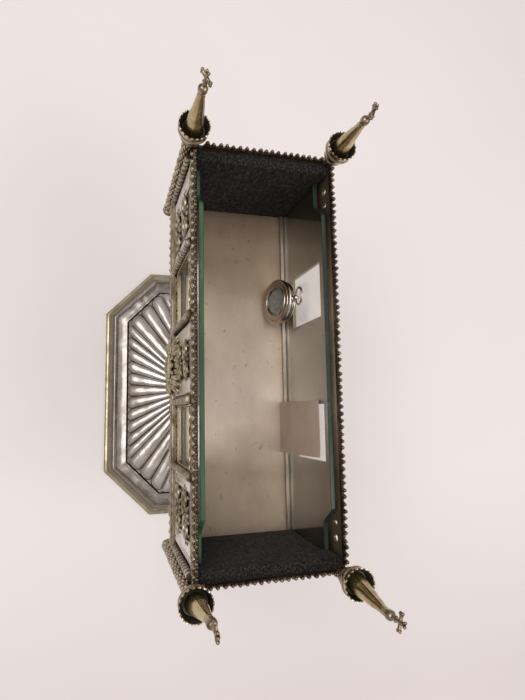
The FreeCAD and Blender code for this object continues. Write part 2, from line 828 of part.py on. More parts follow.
def make_turrets():
    pieces = {}
    rods = []
    pendants = []
    for name, (side_x, side_y) in corners.items():
        x = side_x * turret_x
        y = side_y * turret_y
        pieces[name + "_shaft"] = make_turret_shaft(x, y)
        pieces[name + "_cup"] = make_turret_cup(x, y)
        pieces[name + "_spire"] = make_turret_spire(x, y, spire_lean[name])
        pieces[name + "_finial"] = make_turret_finial(x, y, finial_turn[name], spire_lean[name])
        rods.append(make_turret_rod(x, y))
        pendants.append(make_turret_pendant(x, y))
    pieces["turret_rods"] = Part.makeCompound(rods)
    pieces["turret_pendants"] = Part.makeCompound(pendants)
    return pieces


def make_contents():
    return {
        "front_glass": make_pane(-1),
        "back_glass": make_pane(1),
        "front_glass_channel": make_glass_channel(-1),
        "back_glass_channel": make_glass_channel(1),
        "left_end_pad": make_end_pad(-1),
        "right_end_pad": make_end_pad(1),
        "capsule_case": make_capsule_case(),
        "capsule_bezel": make_capsule_bezel(),
        "capsule_crystal": make_capsule_crystal(),
        "capsule_dial": make_capsule_dial(),
        "capsule_pendant": make_capsule_pendant(),
        "capsule_bow": make_capsule_bow(),
        "label_card": make_label_card(),
    }


def write_parts():
    os.makedirs("parts", exist_ok=True)
    pieces = {**make_foot_and_stem(), **make_case(), **make_turrets(), **make_contents()}
    for name, shape in pieces.items():
        box_size = shape.BoundBox
        print(name, len(shape.Solids), shape.isValid(), round(shape.Volume), box_size)
        shape.exportStep("parts/" + name + ".step")
    print(len(pieces), "nodes")


write_parts()
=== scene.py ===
from math import ceil, cos, pi, radians, sin, sqrt

import bmesh
import bpy
from mathutils import Matrix, Vector, noise


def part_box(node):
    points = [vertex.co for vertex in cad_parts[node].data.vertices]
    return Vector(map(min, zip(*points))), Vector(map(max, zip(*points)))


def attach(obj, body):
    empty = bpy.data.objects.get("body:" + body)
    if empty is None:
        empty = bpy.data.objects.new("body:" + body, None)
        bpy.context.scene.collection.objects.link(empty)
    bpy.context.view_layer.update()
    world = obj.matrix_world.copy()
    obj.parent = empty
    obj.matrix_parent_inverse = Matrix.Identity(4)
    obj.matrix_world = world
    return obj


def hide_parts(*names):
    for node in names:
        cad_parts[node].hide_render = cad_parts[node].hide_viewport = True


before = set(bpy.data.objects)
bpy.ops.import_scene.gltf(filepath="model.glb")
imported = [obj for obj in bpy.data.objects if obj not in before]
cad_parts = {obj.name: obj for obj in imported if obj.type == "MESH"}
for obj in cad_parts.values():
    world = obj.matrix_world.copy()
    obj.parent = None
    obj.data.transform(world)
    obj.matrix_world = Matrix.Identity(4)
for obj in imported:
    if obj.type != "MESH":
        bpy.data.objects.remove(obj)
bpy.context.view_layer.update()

# Shapes are written in millimetres, in the frame of the solids: X along the case, -Y the front, Z up.
mm = 0.001
corners = {"front_left": (-1, -1), "front_right": (1, -1), "back_left": (-1, 1), "back_right": (1, 1)}
upward = Vector((0, 0, 1))
# The share of its half width that each corner of an even octagon takes up.
octagon_cut = 2 - sqrt(2)


def reach(node):
    """Lowest and highest corner of a solid, in millimetres."""
    low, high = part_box(node)
    return low / mm, high / mm


wall_low, wall_high = reach("front_wall")
half_x = wall_high.x
half_y = -wall_low.y
z_rim = wall_high.z
z_floor = reach("case_floor")[1].z


# Mesh helpers
def turns(count):
    """Equal angles round a full turn."""
    return [2 * pi * k / count for k in range(count)]


def round_section(centre_out, centre_up, radius, start=-90, stop=90, steps=6):
    """Points of an arc, as (outward, up), between two angles in degrees."""
    spots = []
    for k in range(steps + 1):
        angle = radians(start + (stop - start) * k / steps)
        spots.append((centre_out + radius * cos(angle), centre_up + radius * sin(angle)))
    return spots


class Shape:
    """Points in millimetres, and faces with a material number, gathered for one piece."""

    def __init__(self):
        self.points = []
        self.faces = []
        self.numbers = []

    def skin(self, rows, around=True, along=False, caps=True, number=0):
        """Faces through rows of points. Around closes each row, along joins the last row to the first."""
        start = len(self.points)
        width = len(rows[0])
        for row in rows:
            self.points.extend(row)
        for r in range(len(rows) if along else len(rows) - 1):
            upper = start + ((r + 1) % len(rows)) * width
            lower = start + r * width
            for c in range(width if around else width - 1):
                d = (c + 1) % width
                self.faces.append((lower + c, lower + d, upper + d, upper + c))
                self.numbers.append(number)
        if caps and around and not along:
            last = start + (len(rows) - 1) * width
            self.faces.append(tuple(range(start + width - 1, start - 1, -1)))
            self.faces.append(tuple(range(last, last + width)))
            self.numbers += [number, number]

    def bands(self, rows, numbers):
        """A closed ring of bands from each row to the next, with a material number for each band."""
        for k, number in enumerate(numbers):
            self.skin([rows[k], rows[(k + 1) % len(rows)]], caps=False, number=number)

    def turned(self, profile, x=0.0, y=0.0, sides=48, number=0, warp=None):
        """A form turned about an upright line from (radius, z) points; warp scales the radius."""
        rows = []
        for radius, z in profile:
            row = []
            for angle in turns(sides):
                size = radius * warp(angle, radius, z) if warp else radius
                row.append((x + size * cos(angle), y + size * sin(angle), z))
            rows.append(row)
        self.skin(rows, number=number)

    def carved(self, x, y, ends, sides, steps, carving, groove):
        """An upright round form; carving gives the radius at an angle and height, and if it is a groove."""
        first = len(self.numbers)

        def place(level, side):
            return 2 * pi * side / sides, ends[0] + (ends[1] - ends[0]) * level / steps

        rows = []
        for level in range(steps + 1):
            row = []
            for side in range(sides):
                angle, z = place(level, side)
                radius = carving(angle, z)[0]
                row.append((x + radius * cos(angle), y + radius * sin(angle), z))
            rows.append(row)
        self.skin(rows)
        for level in range(steps):
            for side in range(sides):
                if carving(*place(level + 0.5, side + 0.5))[1]:
                    self.numbers[first + level * sides + side] = groove

    def tube(self, path, radius, sides=8, number=0, closed=False):
        """A tube along points; radius is a number or a function of the share of the way."""
        path = [Vector(p) for p in path]
        count = len(path)
        rows = []
        for k, centre in enumerate(path):
            before = path[k - 1] if k or closed else path[0]
            after = path[(k + 1) % count] if k < count - 1 or closed else path[-1]
            forward = (after - before).normalized()
            helper = Vector((0, 1, 0)) if abs(forward.y) < 0.9 else Vector((1, 0, 0))
            side = forward.cross(helper).normalized()
            rise = side.cross(forward)
            size = radius(k / (count - 1)) if callable(radius) else radius
            row = []
            for angle in turns(sides):
                row.append(centre + (side * (size * cos(angle)) + rise * (size * sin(angle))))
            rows.append(row)
        self.skin(rows, along=closed, number=number)

    def blob(self, centre, axis_a, axis_b, axis_c, sides=10, levels=6, number=0):
        """A rounded lump with three half axes."""
        centre, axis_a, axis_b, axis_c = (Vector(v) for v in (centre, axis_a, axis_b, axis_c))
        tip_size = 0.02
        rows = []
        for r in range(levels + 1):
            tilt = pi * r / levels
            ring = max(sin(tilt), tip_size)
            row = []
            for angle in turns(sides):
                spot = centre + axis_a * (ring * cos(angle)) + axis_b * (ring * sin(angle))
                row.append(spot + axis_c * cos(tilt))
            rows.append(row)
        self.skin(rows, number=number)

    def strip(self, profile, start, end, outward, pieces=1, number=0):
        """A moulding from start to end; the profile is (outward, up) points round its section."""
        rows = []
        for k in range(pieces + 1):
            base = start.lerp(end, k / pieces)
            rows.append([base + outward * out + upward * up for out, up in profile])
        self.skin(rows, number=number)


def piece(name, shape, materials, slot, *stands_for, body="casket", sharp=40.0):
    """Turns a shape into a named object that rides on a body."""
    mesh = bpy.data.meshes.new(name)
    mesh.from_pydata([(p[0] * mm, p[1] * mm, p[2] * mm) for p in shape.points], [], shape.faces)
    mesh.polygons.foreach_set("material_index", shape.numbers)
    for material in materials:
        mesh.materials.append(material)
    work = bmesh.new()
    work.from_mesh(mesh)
    bmesh.ops.remove_doubles(work, verts=work.verts, dist=1e-6)
    bmesh.ops.recalc_face_normals(work, faces=work.faces)
    work.to_mesh(mesh)
    work.free()
    mesh.polygons.foreach_set("use_smooth", [True] * len(mesh.polygons))
    mesh.set_sharp_from_angle(angle=radians(sharp))
    made = bpy.data.objects.new(name, mesh)
    bpy.context.scene.collection.objects.link(made)
    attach(made, body)
    if stands_for:
        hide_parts(*stands_for)
    return made


def dress(material, *nodes):
    """Gives carried-over solids their material."""
    for node in nodes:
        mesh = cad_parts[node].data
        mesh.materials.clear()
        mesh.materials.append(material)


def smooth_value(points, x):
    """A smooth curve through (x, y) points, read at x."""
    slopes = []
    for k in range(len(points)):
        before = points[max(k - 1, 0)]
        after = points[min(k + 1, len(points) - 1)]
        slopes.append((after[1] - before[1]) / (after[0] - before[0]))
    for k in range(len(points) - 1):
        (x0, y0), (x1, y1) = points[k], points[k + 1]
        if x <= x1:
            span = x1 - x0
            t = (x - x0) / span
            blend = t * t * (3 - 2 * t)
            return y0 + (y1 - y0) * blend + span * t * (1 - t) * ((1 - t) * slopes[k] - t * slopes[k + 1])
    return points[-1][1]


def wobble(x, y, z, pitch, size):
    """A small smooth unevenness, the same in every run."""
    return size * noise.noise(Vector((x, y, z)) / pitch)


# Material helpers
class Paint:
    """A procedural material and short ways to add its nodes."""

    def __init__(self, name):
        self.material = bpy.data.materials.new(name)
        self.material.use_nodes = True
        self.tree = self.material.node_tree
        self.shader = self.tree.nodes["Principled BSDF"]
        self.place = self.node("ShaderNodeTexCoord").outputs["Object"]

    def node(self, kind, **settings):
        made = self.tree.nodes.new(kind)
        for name, value in settings.items():
            setattr(made, name, value)
        return made

    def put(self, socket, value):
        """Links another node's output to a socket, or sets the socket."""
        if isinstance(value, bpy.types.NodeSocket):
            self.tree.links.new(value, socket)
        else:
            socket.default_value = value

    def feed(self, made, **values):
        """Sets or links inputs; underscores in names stand for spaces."""
        for name, value in values.items():
            self.put(made.inputs[name.replace("_", " ")], value)
        return made

    def surface(self, **values):
        self.feed(self.shader, **values)

    def stretched(self, scale, turn=(0.0, 0.0, 0.0)):
        mapping = self.feed(self.node("ShaderNodeMapping"), Vector=self.place, Scale=scale, Rotation=turn)
        return mapping.outputs["Vector"]

    def noise(self, scale, detail=4.0, rough=0.55, place=None, twist=0.0):
        made = self.feed(self.node("ShaderNodeTexNoise"), Vector=place or self.place, Scale=scale)
        return self.feed(made, Detail=detail, Roughness=rough, Distortion=twist).outputs["Fac"]

    def ramp(self, share, *stops):
        """A colour ramp from (position, colour or grey) stops."""
        made = self.feed(self.node("ShaderNodeValToRGB"), Fac=share)
        elements = made.color_ramp.elements
        while len(elements) < len(stops):
            elements.new(0.5)
        for element, (position, colour) in zip(elements, stops):
            element.position = position
            grey = not isinstance(colour, tuple)
            element.color = (colour, colour, colour, 1.0) if grey else (*colour, 1.0)
        return made.outputs["Color"]

    def mix(self, share, first, second, way="MIX"):
        """A mix of two colours, which go in the node's sockets 6 and 7."""
        made = self.node("ShaderNodeMix", data_type="RGBA", blend_type=way, clamp_factor=True)
        for number, value in ((0, share), (6, first), (7, second)):
            self.put(made.inputs[number], (*value, 1.0) if isinstance(value, tuple) else value)
        return made.outputs[2]

    def over(self, colour, share, strength, added):
        """Lays an added colour over another by a share times a strength."""
        return self.mix(self.maths("MULTIPLY", share, strength), colour, added)

    def maths(self, way, first, second):
        made = self.node("ShaderNodeMath", operation=way, use_clamp=True)
        self.put(made.inputs[0], first)
        self.put(made.inputs[1], second)
        return made.outputs[0]

    def axis(self, letter):
        """One coordinate of the place."""
        return self.feed(self.node("ShaderNodeSeparateXYZ"), Vector=self.place).outputs[letter]

    def painted_light_along(self, *stops):
        """Painted light and shade that change along the case, from (share of the length, colour) stops with
        uneven edges.
        """
        spread = 0.06
        drift = self.maths("MULTIPLY", self.noise(14.0, detail=4.0), spread)
        spot = self.maths("ADD", self.maths("ADD", self.axis("X"), half_x * mm - spread / 2), drift)
        return self.ramp(self.maths("MULTIPLY", spot, 0.5 / (half_x * mm)), *stops)

    def recess(self, distance):
        """1 in hollows and 0 on open faces."""
        made = self.feed(self.node("ShaderNodeAmbientOcclusion", samples=8), Distance=distance * mm)
        return self.ramp(made.outputs["AO"], (0.30, 1.0), (0.92, 0.0))

    def relief(self, height, strength, distance):
        made = self.feed(self.node("ShaderNodeBump"), Height=height, Strength=strength)
        self.surface(Normal=self.feed(made, Distance=distance * mm).outputs["Normal"])


def aged_metal(name, clean, patina, dark, rough, hollow=3.0, patches=45.0, grain=0.12, stain=(0.38, 0.66)):
    """Silver or gilt metal with stains in patches, dirt in its hollows and a fine uneven surface."""
    paint = Paint(name)
    blots = paint.noise(patches, detail=6.0, rough=0.62, twist=0.6)
    patch = paint.ramp(blots, (stain[0], 0.0), (stain[1], 1.0))
    speck = paint.ramp(paint.noise(1400.0, detail=2.0), (0.35, 0.0), (0.75, 1.0))
    dirt = paint.recess(hollow)
    colour = paint.mix(patch, clean, patina)
    colour = paint.over(colour, speck, 0.35, patina)
    colour = paint.over(colour, dirt, 0.92, dark)
    wear = paint.maths("ADD", paint.maths("MULTIPLY", patch, 0.6), paint.maths("MULTIPLY", dirt, 0.7))
    paint.surface(Base_Color=colour, Metallic=1.0)
    paint.surface(Roughness=paint.ramp(wear, (0.0, rough[0]), (1.0, rough[1])))
    paint.relief(paint.noise(520.0, detail=5.0, rough=0.6), grain, 0.3)
    return paint.material


# Each metal has a clean, a stained and a dirty colour, then its smoothest and roughest finish.
foot_silver = aged_metal("foot_silver", (0.60, 0.55, 0.515), (0.38, 0.33, 0.285), (0.10, 0.078, 0.06),
                         (0.24, 0.42), hollow=1.1, patches=42.0, grain=0.05, stain=(0.42, 0.74))
foot_band = aged_metal("foot_band_silver", (0.37, 0.335, 0.31), (0.22, 0.19, 0.16), (0.07, 0.055, 0.04),
                       (0.20, 0.44), hollow=1.2, patches=70.0, grain=0.1, stain=(0.40, 0.72))
foot_edge = aged_metal("foot_edge_metal", (0.55, 0.48, 0.345), (0.30, 0.25, 0.15), (0.06, 0.045, 0.025),
                       (0.24, 0.46), hollow=1.5, patches=75.0, grain=0.1)
stem_silver = aged_metal("stem_silver", (0.66, 0.59, 0.49), (0.34, 0.27, 0.18), (0.045, 0.034, 0.022),
                         (0.24, 0.48), hollow=4.0, patches=40.0)
ornament = aged_metal("ornament_silver", (0.52, 0.45, 0.33), (0.155, 0.115, 0.062), (0.010, 0.0075, 0.005),
                      (0.20, 0.46), hollow=3.4, patches=85.0, grain=0.2, stain=(0.34, 0.62))
cartouche_metal = aged_metal("cartouche_metal", (0.60, 0.515, 0.36), (0.26, 0.20, 0.11), (0.05, 0.038, 0.022),
                             (0.20, 0.42), hollow=1.6, patches=85.0, grain=0.15, stain=(0.38, 0.68))
cresting_metal = aged_metal("cresting_metal", (0.27, 0.205, 0.15), (0.095, 0.066, 0.046),
                            (0.010, 0.007, 0.005), (0.22, 0.46), hollow=2.4, patches=95.0, grain=0.2,
                            stain=(0.34, 0.62))
# A paler copy of the cresting metal, for the raised vein at the top of each leaf.
paler_cresting = aged_metal("paler_cresting", (0.33, 0.265, 0.195), (0.13, 0.095, 0.066), (0.010, 0.007, 0.005),
                           (0.22, 0.46), hollow=2.4, patches=95.0, grain=0.2, stain=(0.34, 0.62))
bright_plate = aged_metal("plain_plate_silver", (0.78, 0.73, 0.65), (0.36, 0.29, 0.185), (0.04, 0.03, 0.02),
                          (0.2, 0.4), hollow=3.0, patches=65.0, grain=0.06, stain=(0.46, 0.72))
turret_metal = aged_metal("turret_metal", (0.66, 0.56, 0.40), (0.27, 0.20, 0.12), (0.008, 0.006, 0.004),
                          (0.20, 0.40), hollow=4.2, patches=110.0, grain=0.15, stain=(0.36, 0.66))
spire_metal = aged_metal("spire_metal", (0.62, 0.515, 0.30), (0.31, 0.23, 0.105), (0.03, 0.022, 0.013),
                         (0.24, 0.44), hollow=1.0, patches=70.0, grain=0.15, stain=(0.38, 0.68))
finial_metal = aged_metal("finial_metal", (0.42, 0.34, 0.23), (0.17, 0.125, 0.08), (0.012, 0.009, 0.006),
                          (0.22, 0.45), hollow=1.6, patches=160.0, grain=0.2)
# Near-black metal for the grooves of ropes, columns and shaft scales: dark patina and painted shade.
groove_patina_and_shade = aged_metal("groove_patina_and_shade", (0.05, 0.038, 0.024), (0.022, 0.016, 0.010), (0.006, 0.0045, 0.003),
                          (0.34, 0.52), hollow=1.0, patches=140.0)
# Darker grey-green metal for the inside of the turret cups and the eyes of the wall scrolls: painted shade.
painted_shade_hollows = aged_metal("painted_shade_hollows_metal", (0.33, 0.345, 0.32), (0.20, 0.21, 0.195), (0.02, 0.02, 0.018),
                        (0.32, 0.5), hollow=2.0, patches=120.0)
channel_metal = aged_metal("channel_metal", (0.40, 0.33, 0.26), (0.31, 0.255, 0.20), (0.13, 0.105, 0.08),
                           (0.36, 0.55), hollow=0.8, patches=60.0)
hidden_steel = aged_metal("hidden_steel", (0.42, 0.41, 0.39), (0.27, 0.24, 0.21), (0.05, 0.045, 0.04),
                          (0.35, 0.6))
capsule_metal = aged_metal("capsule_metal", (0.62, 0.545, 0.47), (0.36, 0.295, 0.23), (0.03, 0.025, 0.02),
                           (0.18, 0.38), hollow=1.4, patches=140.0, grain=0.1, stain=(0.46, 0.8))


def make_wall_silver():
    """Rolled plate: faint streaks, brown bloom and dark spots inside, black patina on the outer face, and
    painted light and shade along the case.
    """
    paint = Paint("wall_silver")
    bloom = paint.ramp(paint.noise(16.0, detail=5.0, rough=0.6, twist=0.8), (0.34, 0.0), (0.68, 1.0))
    streaks = paint.noise(60.0, detail=5.0, rough=0.6, place=paint.stretched((0.25, 1.0, 3.0)))
    spots = paint.ramp(paint.noise(230.0, detail=3.0, rough=0.5), (0.66, 0.0), (0.74, 1.0))
    colour = paint.mix(bloom, (0.55, 0.44, 0.345), (0.38, 0.295, 0.215))
    colour = paint.mix(paint.ramp(streaks, (0.3, 0.0), (0.8, 0.5)), colour, (0.62, 0.53, 0.44))
    colour = paint.over(colour, spots, 0.6, (0.09, 0.068, 0.048))
    colour = paint.over(colour, paint.recess(5.0), 0.75, (0.05, 0.038, 0.027))
    brown = (0.47, 0.40, 0.335)
    light_brown = (0.62, 0.55, 0.48)
    pale = (1.0, 0.97, 0.93)
    # Painted light and shade: palest a little towards +X of the middle, darker towards both ends.
    painted_light_and_shade = paint.painted_light_along((0.05, light_brown), (0.17, brown), (0.34, (0.92, 0.88, 0.83)), (0.62, pale),
                               (0.80, brown), (0.95, light_brown))
    colour = paint.mix(1.0, colour, painted_light_and_shade, "MULTIPLY")
    away = paint.maths("ABSOLUTE", paint.axis("Y"), 0.0)
    outside = paint.maths("GREATER_THAN", away, (half_y - 0.1) * mm)
    colour = paint.over(colour, outside, 0.88, (0.055, 0.041, 0.025))
    paint.surface(Base_Color=colour, Metallic=0.8)
    paint.surface(Roughness=paint.ramp(bloom, (0.0, 0.30), (1.0, 0.46)))
    paint.relief(streaks, 0.08, 0.3)
    return paint.material


def make_floor_metal():
    """The case's satin floor, with spots, soft stains and fine rubbing marks, darker within 9 mm of walls and
    pads, and with painted light and shade along the case.
    """
    paint = Paint("floor_metal")
    cloud = paint.ramp(paint.noise(22.0, detail=5.0, rough=0.6, twist=1.0), (0.32, 0.0), (0.72, 1.0))
    slanted = paint.stretched((0.4, 1.0, 1.0), (0, 0, radians(25)))
    rub = paint.noise(90.0, detail=6.0, rough=0.65, place=slanted)
    spots = paint.ramp(paint.noise(260.0, detail=2.0, rough=0.4), (0.69, 0.0), (0.75, 1.0))
    specks = paint.ramp(paint.noise(620.0, detail=2.0), (0.68, 0.0), (0.74, 1.0))
    colour = paint.mix(cloud, (0.72, 0.595, 0.495), (0.64, 0.52, 0.42))
    colour = paint.mix(paint.ramp(rub, (0.35, 0.0), (0.85, 0.45)), colour, (0.43, 0.35, 0.275))
    colour = paint.over(colour, spots, 0.45, (0.20, 0.155, 0.11))
    colour = paint.over(colour, specks, 0.45, (0.38, 0.36, 0.20))
    colour = paint.over(colour, paint.recess(9.0), 0.5, (0.17, 0.135, 0.105))
    brown = (0.44, 0.375, 0.29)
    light_brown = (0.56, 0.50, 0.42)
    pale = (1.0, 0.985, 0.97)
    # Painted light and shade: palest a little towards +X of the middle, darker towards both ends.
    painted_light_and_shade = paint.painted_light_along((0.05, light_brown), (0.17, brown), (0.30, light_brown),
                               (0.44, (0.90, 0.86, 0.81)), (0.56, pale), (0.68, pale),
                               (0.80, light_brown), (0.95, (0.80, 0.75, 0.68)))
    colour = paint.mix(1.0, colour, painted_light_and_shade, "MULTIPLY")
    paint.surface(Base_Color=colour, Metallic=0.2)
    paint.surface(Roughness=paint.ramp(cloud, (0.0, 0.30), (1.0, 0.42)))
    paint.relief(rub, 0.02, 0.2)
    return paint.material


def make_pane_glass():
    """Clear glass with a light film of dust; lamps pass through it."""
    paint = Paint("pane_glass")
    film = paint.noise(55.0, detail=5.0, rough=0.6)
    paint.surface(Base_Color=(0.965, 0.99, 0.98, 1.0), Roughness=paint.ramp(film, (0.4, 0.0), (0.9, 0.06)))
    paint.surface(IOR=1.5, Transmission_Weight=1.0)
    clear = paint.feed(paint.node("ShaderNodeBsdfTransparent"), Color=(0.93, 0.96, 0.945, 1.0))
    path = paint.node("ShaderNodeLightPath")
    chosen = paint.node("ShaderNodeMixShader")
    paint.put(chosen.inputs[0], path.outputs["Is Shadow Ray"])
    paint.put(chosen.inputs[1], paint.shader.outputs[0])
    paint.put(chosen.inputs[2], clear.outputs[0])
    paint.put(paint.tree.nodes["Material Output"].inputs["Surface"], chosen.outputs[0])
    return paint.material


def make_pane_edge(name, deep, pale):
    """The ground edge of a pane, where the glass looks green."""
    paint = Paint(name)
    cloud = paint.noise(140.0, detail=4.0, rough=0.6, place=paint.stretched((0.3, 1.0, 1.0)))
    paint.surface(Base_Color=paint.ramp(cloud, (0.25, deep), (0.8, pale)))
    paint.surface(Roughness=paint.ramp(cloud, (0.2, 0.12), (0.8, 0.34)), IOR=1.5)
    paint.surface(Subsurface_Weight=0.25, Subsurface_Radius=(0.002, 0.004, 0.003))
    paint.relief(paint.noise(900.0, detail=3.0), 0.15, 0.2)
    return paint.material


def make_velvet():
    """Short black pile with paler dust caught in it."""
    paint = Paint("black_velvet")
    pile = paint.noise(2600.0, detail=3.0, rough=0.7)
    nap = paint.noise(48.0, detail=4.0, rough=0.6, twist=0.7)
    tufts = paint.noise(800.0, detail=3.0, rough=0.6, place=paint.stretched((1.0, 1.0, 0.35)))
    dust = paint.ramp(tufts, (0.44, 0.0), (0.68, 1.0))
    colour = paint.ramp(nap, (0.3, (0.004, 0.0037, 0.0034)), (0.75, (0.013, 0.012, 0.0113)))
    colour = paint.over(colour, dust, 0.75, (0.07, 0.0655, 0.063))
    paint.surface(Base_Color=colour, Roughness=paint.ramp(pile, (0.2, 0.85), (0.8, 1.0)))
    paint.surface(Sheen_Weight=0.14, Sheen_Roughness=0.4, Sheen_Tint=(0.55, 0.50, 0.50, 1.0))
    paint.surface(Specular_IOR_Level=0.1)
    paint.relief(pile, 0.7, 0.4)
    return paint.material


def make_card_paper():
    """Old pinkish card with fibres, uneven ageing and foxing."""
    paint = Paint("card_paper")
    fibre = paint.noise(1500.0, detail=4.0, rough=0.7, place=paint.stretched((1.0, 1.0, 0.35)))
    age = paint.ramp(paint.noise(42.0, detail=5.0, rough=0.6, twist=0.5), (0.3, 0.0), (0.72, 1.0))
    fox = paint.ramp(paint.noise(330.0, detail=3.0), (0.66, 0.0), (0.74, 1.0))
    colour = paint.mix(age, (0.54, 0.41, 0.335), (0.44, 0.325, 0.25))
    colour = paint.mix(paint.ramp(fibre, (0.35, 0.0), (0.75, 0.3)), colour, (0.44, 0.325, 0.26))
    colour = paint.over(colour, fox, 0.3, (0.32, 0.20, 0.14))
    paint.surface(Base_Color=colour, Roughness=paint.ramp(fibre, (0.2, 0.75), (0.8, 0.95)))
    paint.surface(Specular_IOR_Level=0.2)
    paint.relief(fibre, 0.25, 0.15)
    return paint.material


def make_dial_card():
    """A mottled grey-brown card with small dark worn marks."""
    paint = Paint("dial_card")
    blot = paint.noise(420.0, detail=5.0, rough=0.65, twist=0.6)
    cells = paint.feed(paint.node("ShaderNodeTexVoronoi"), Vector=paint.place, Scale=640.0)
    marks = cells.outputs["Distance"]
    shades = (0.3, (0.08, 0.07, 0.055)), (0.55, (0.19, 0.17, 0.145)), (0.8, (0.33, 0.30, 0.26))
    colour = paint.ramp(blot, *shades)
    colour = paint.over(colour, paint.ramp(marks, (0.12, 1.0), (0.34, 0.0)), 0.65, (0.07, 0.07, 0.05))
    paint.surface(Base_Color=colour, Roughness=paint.ramp(blot, (0.2, 0.5), (0.8, 0.8)))
    paint.relief(marks, 0.3, 0.2)
    return paint.material


wall_silver = make_wall_silver()
floor_metal = make_floor_metal()
pane_glass = make_pane_glass()
# One ground glass edge in two colours: the back pane's darker copy is painted shade.
front_pane_edge = make_pane_edge("front_pane_edge", (0.030, 0.075, 0.030), (0.070, 0.145, 0.066))
back_edge_painted_shade = make_pane_edge("back_edge_painted_shade", (0.014, 0.026, 0.015), (0.032, 0.055, 0.035))
velvet = make_velvet()
card_paper = make_card_paper()
dial_card = make_dial_card()


# Foot
foot_chamfer = 42.0
border_inset = 22.0
dome_neck_half = 17.0
foot_low, foot_high = reach("foot_border")
foot_x = (foot_low.x + foot_high.x) / 2
foot_middle = Vector((foot_x, 0, 0))
lobe_points = 12


def octagon(reach_x, reach_y, chamfer):
    cut_x = reach_x - chamfer
    cut_y = reach_y - chamfer
    flat = [(reach_x, -cut_y), (reach_x, cut_y), (cut_x, reach_y), (-cut_x, reach_y)]
    return [Vector((x, y, 0)) for x, y in flat + [(-x, -y) for x, y in flat]]


def octagon_ring(reach_x, reach_y, chamfer, z, per_edge):
    """Points round an octagon, each side cut into equal steps."""
    corner_points = octagon(reach_x, reach_y, chamfer)
    row = []
    for k, start in enumerate(corner_points):
        end = corner_points[(k + 1) % 8]
        for s in range(per_edge):
            spot = start.lerp(end, s / per_edge)
            row.append(Vector((spot.x, spot.y, z)))
    return row


def stem_ring(half, z):
    """An even octagon round the stem's axis."""
    return [spot + foot_middle for spot in octagon_ring(half, half, half * octagon_cut, z, 6)]


def make_foot_border():
    """A stepped border with a darker hollow band between two yellower edges."""
    top = foot_high.z
    edge, band = 1, 2
    # Inset from the outline, height, and the material number of the face that follows.
    profile = [(0, 0, edge), (0, 1.6, edge), (0.35, 2.4, edge), (1.0, 2.9, edge), (2.0, 3.1, edge)]
    profile += [(2.6, 3.2, edge), (3.2, 3.7, edge), (5.0, 5.2, edge), (6.2, 6.2, band), (7.6, 7.4, band)]
    profile += [(8.2, top - 0.1, band), (8.8, top, band), (9.4, top - 0.2, edge), (10.0, 7.0, band)]
    profile += [(10.6, 6.7, band), (11.6, 6.6, band), (15.0, 6.45, band), (18.0, 6.6, band)]
    profile += [(18.9, 7.0, band), (19.6, 7.0, edge), (20.1, 6.2, edge), (20.5, 5.0, band)]
    profile += [(border_inset, 4.6, band), (border_inset, 0, band)]
    half_long = (foot_high.x - foot_low.x) / 2
    rows = []
    for inset, z, _ in profile:
        chamfer = foot_chamfer - inset * octagon_cut
        uneven = 0.30 if 2.0 < z < top - 0.4 else 0.0
        row = []
        for spot in octagon_ring(half_long - inset, foot_high.y - inset, chamfer, z, 40):
            row.append(spot + Vector((foot_x, 0, wobble(spot.x, spot.y, z, 7.0, uneven))))
        rows.append(row)
    shape = Shape()
    shape.bands(rows, [number for _, _, number in profile])
    piece("foot_border_moulding", shape, [foot_silver, foot_edge, foot_band], "foot_silver", "foot_border")


def lobed_form(outer, outer_x, neck_half, curve, swell, lobes, levels):
    """A ring of long rounded lobes that run from an outer octagon to a neck.

    The curve gives z for a share of the way in; swell is a lobe's height as a share of its width.
    """
    starts = [spot + Vector((outer_x, 0, 0)) for spot in octagon(*outer)]
    ends = [spot + foot_middle for spot in octagon(neck_half, neck_half, neck_half * octagon_cut)]
    sign = 1 if curve[-1][1] > curve[0][1] else -1
    step = 0.004
    round_end = 0.36
    rows = []
    for level in range(levels + 1):
        # Rows lie closer together near the outer edge.
        share = (level / levels) ** 1.5
        z = smooth_value(curve, share)
        rise = smooth_value(curve, min(share + step, 1.0)) - smooth_value(curve, max(share - step, 0.0))
        row = []
        for side, count in enumerate(lobes * 2):
            after = (side + 1) % 8
            a = starts[side].lerp(ends[side], share)
            b = starts[after].lerp(ends[after], share)
            run = b - a
            out = Vector((run.y, -run.x, 0)).normalized()
            travel = (starts[side] - ends[side]).dot(out)
            normal = out * (sign * rise) + Vector((0, 0, sign * 2 * step * travel))
            normal.normalize()
            width = run.length / count
            full_width = (starts[after] - starts[side]).length / count
            end_share = max(0.0, 1.0 - share * travel / (round_end * full_width))
            for k in range(count * lobe_points):
                across = 2 * ((k % lobe_points) / lobe_points) - 1
                height = max(0.0, 1 - abs(across) ** 2.2 - end_share * end_share) ** 0.55
                spot = a.lerp(b, k / (count * lobe_points)) + Vector((0, 0, z))
                dent = wobble(spot.x, spot.y, spot.z, 6.5, 0.32) * height
                row.append(spot + normal * (swell * width * height + dent))
        rows.append(row)
    shape = Shape()
    shape.skin(rows)
    return shape


def make_foot_lobes():
    low, high = reach("foot_dome")
    border_top = foot_high.z
    skirt = -1.2
    chamfer = foot_chamfer - (border_inset + skirt) * octagon_cut
    outer = ((high.x - low.x) / 2 - skirt, high.y - skirt, chamfer)
    curve = [(0.0, 0.0), (0.04, 0.06), (0.12, 0.145), (0.42, 0.38), (0.75, 0.63), (0.92, 0.82), (1.0, 1.0)]
    curve = [(share, border_top + lift * (high.z - border_top)) for share, lift in curve]
    shape = lobed_form(outer, foot_x, dome_neck_half, curve, 0.28, [7, 3, 11, 3], 48)
    piece("foot_lobes", shape, [foot_silver], "foot_silver", "foot_dome", sharp=70.0)


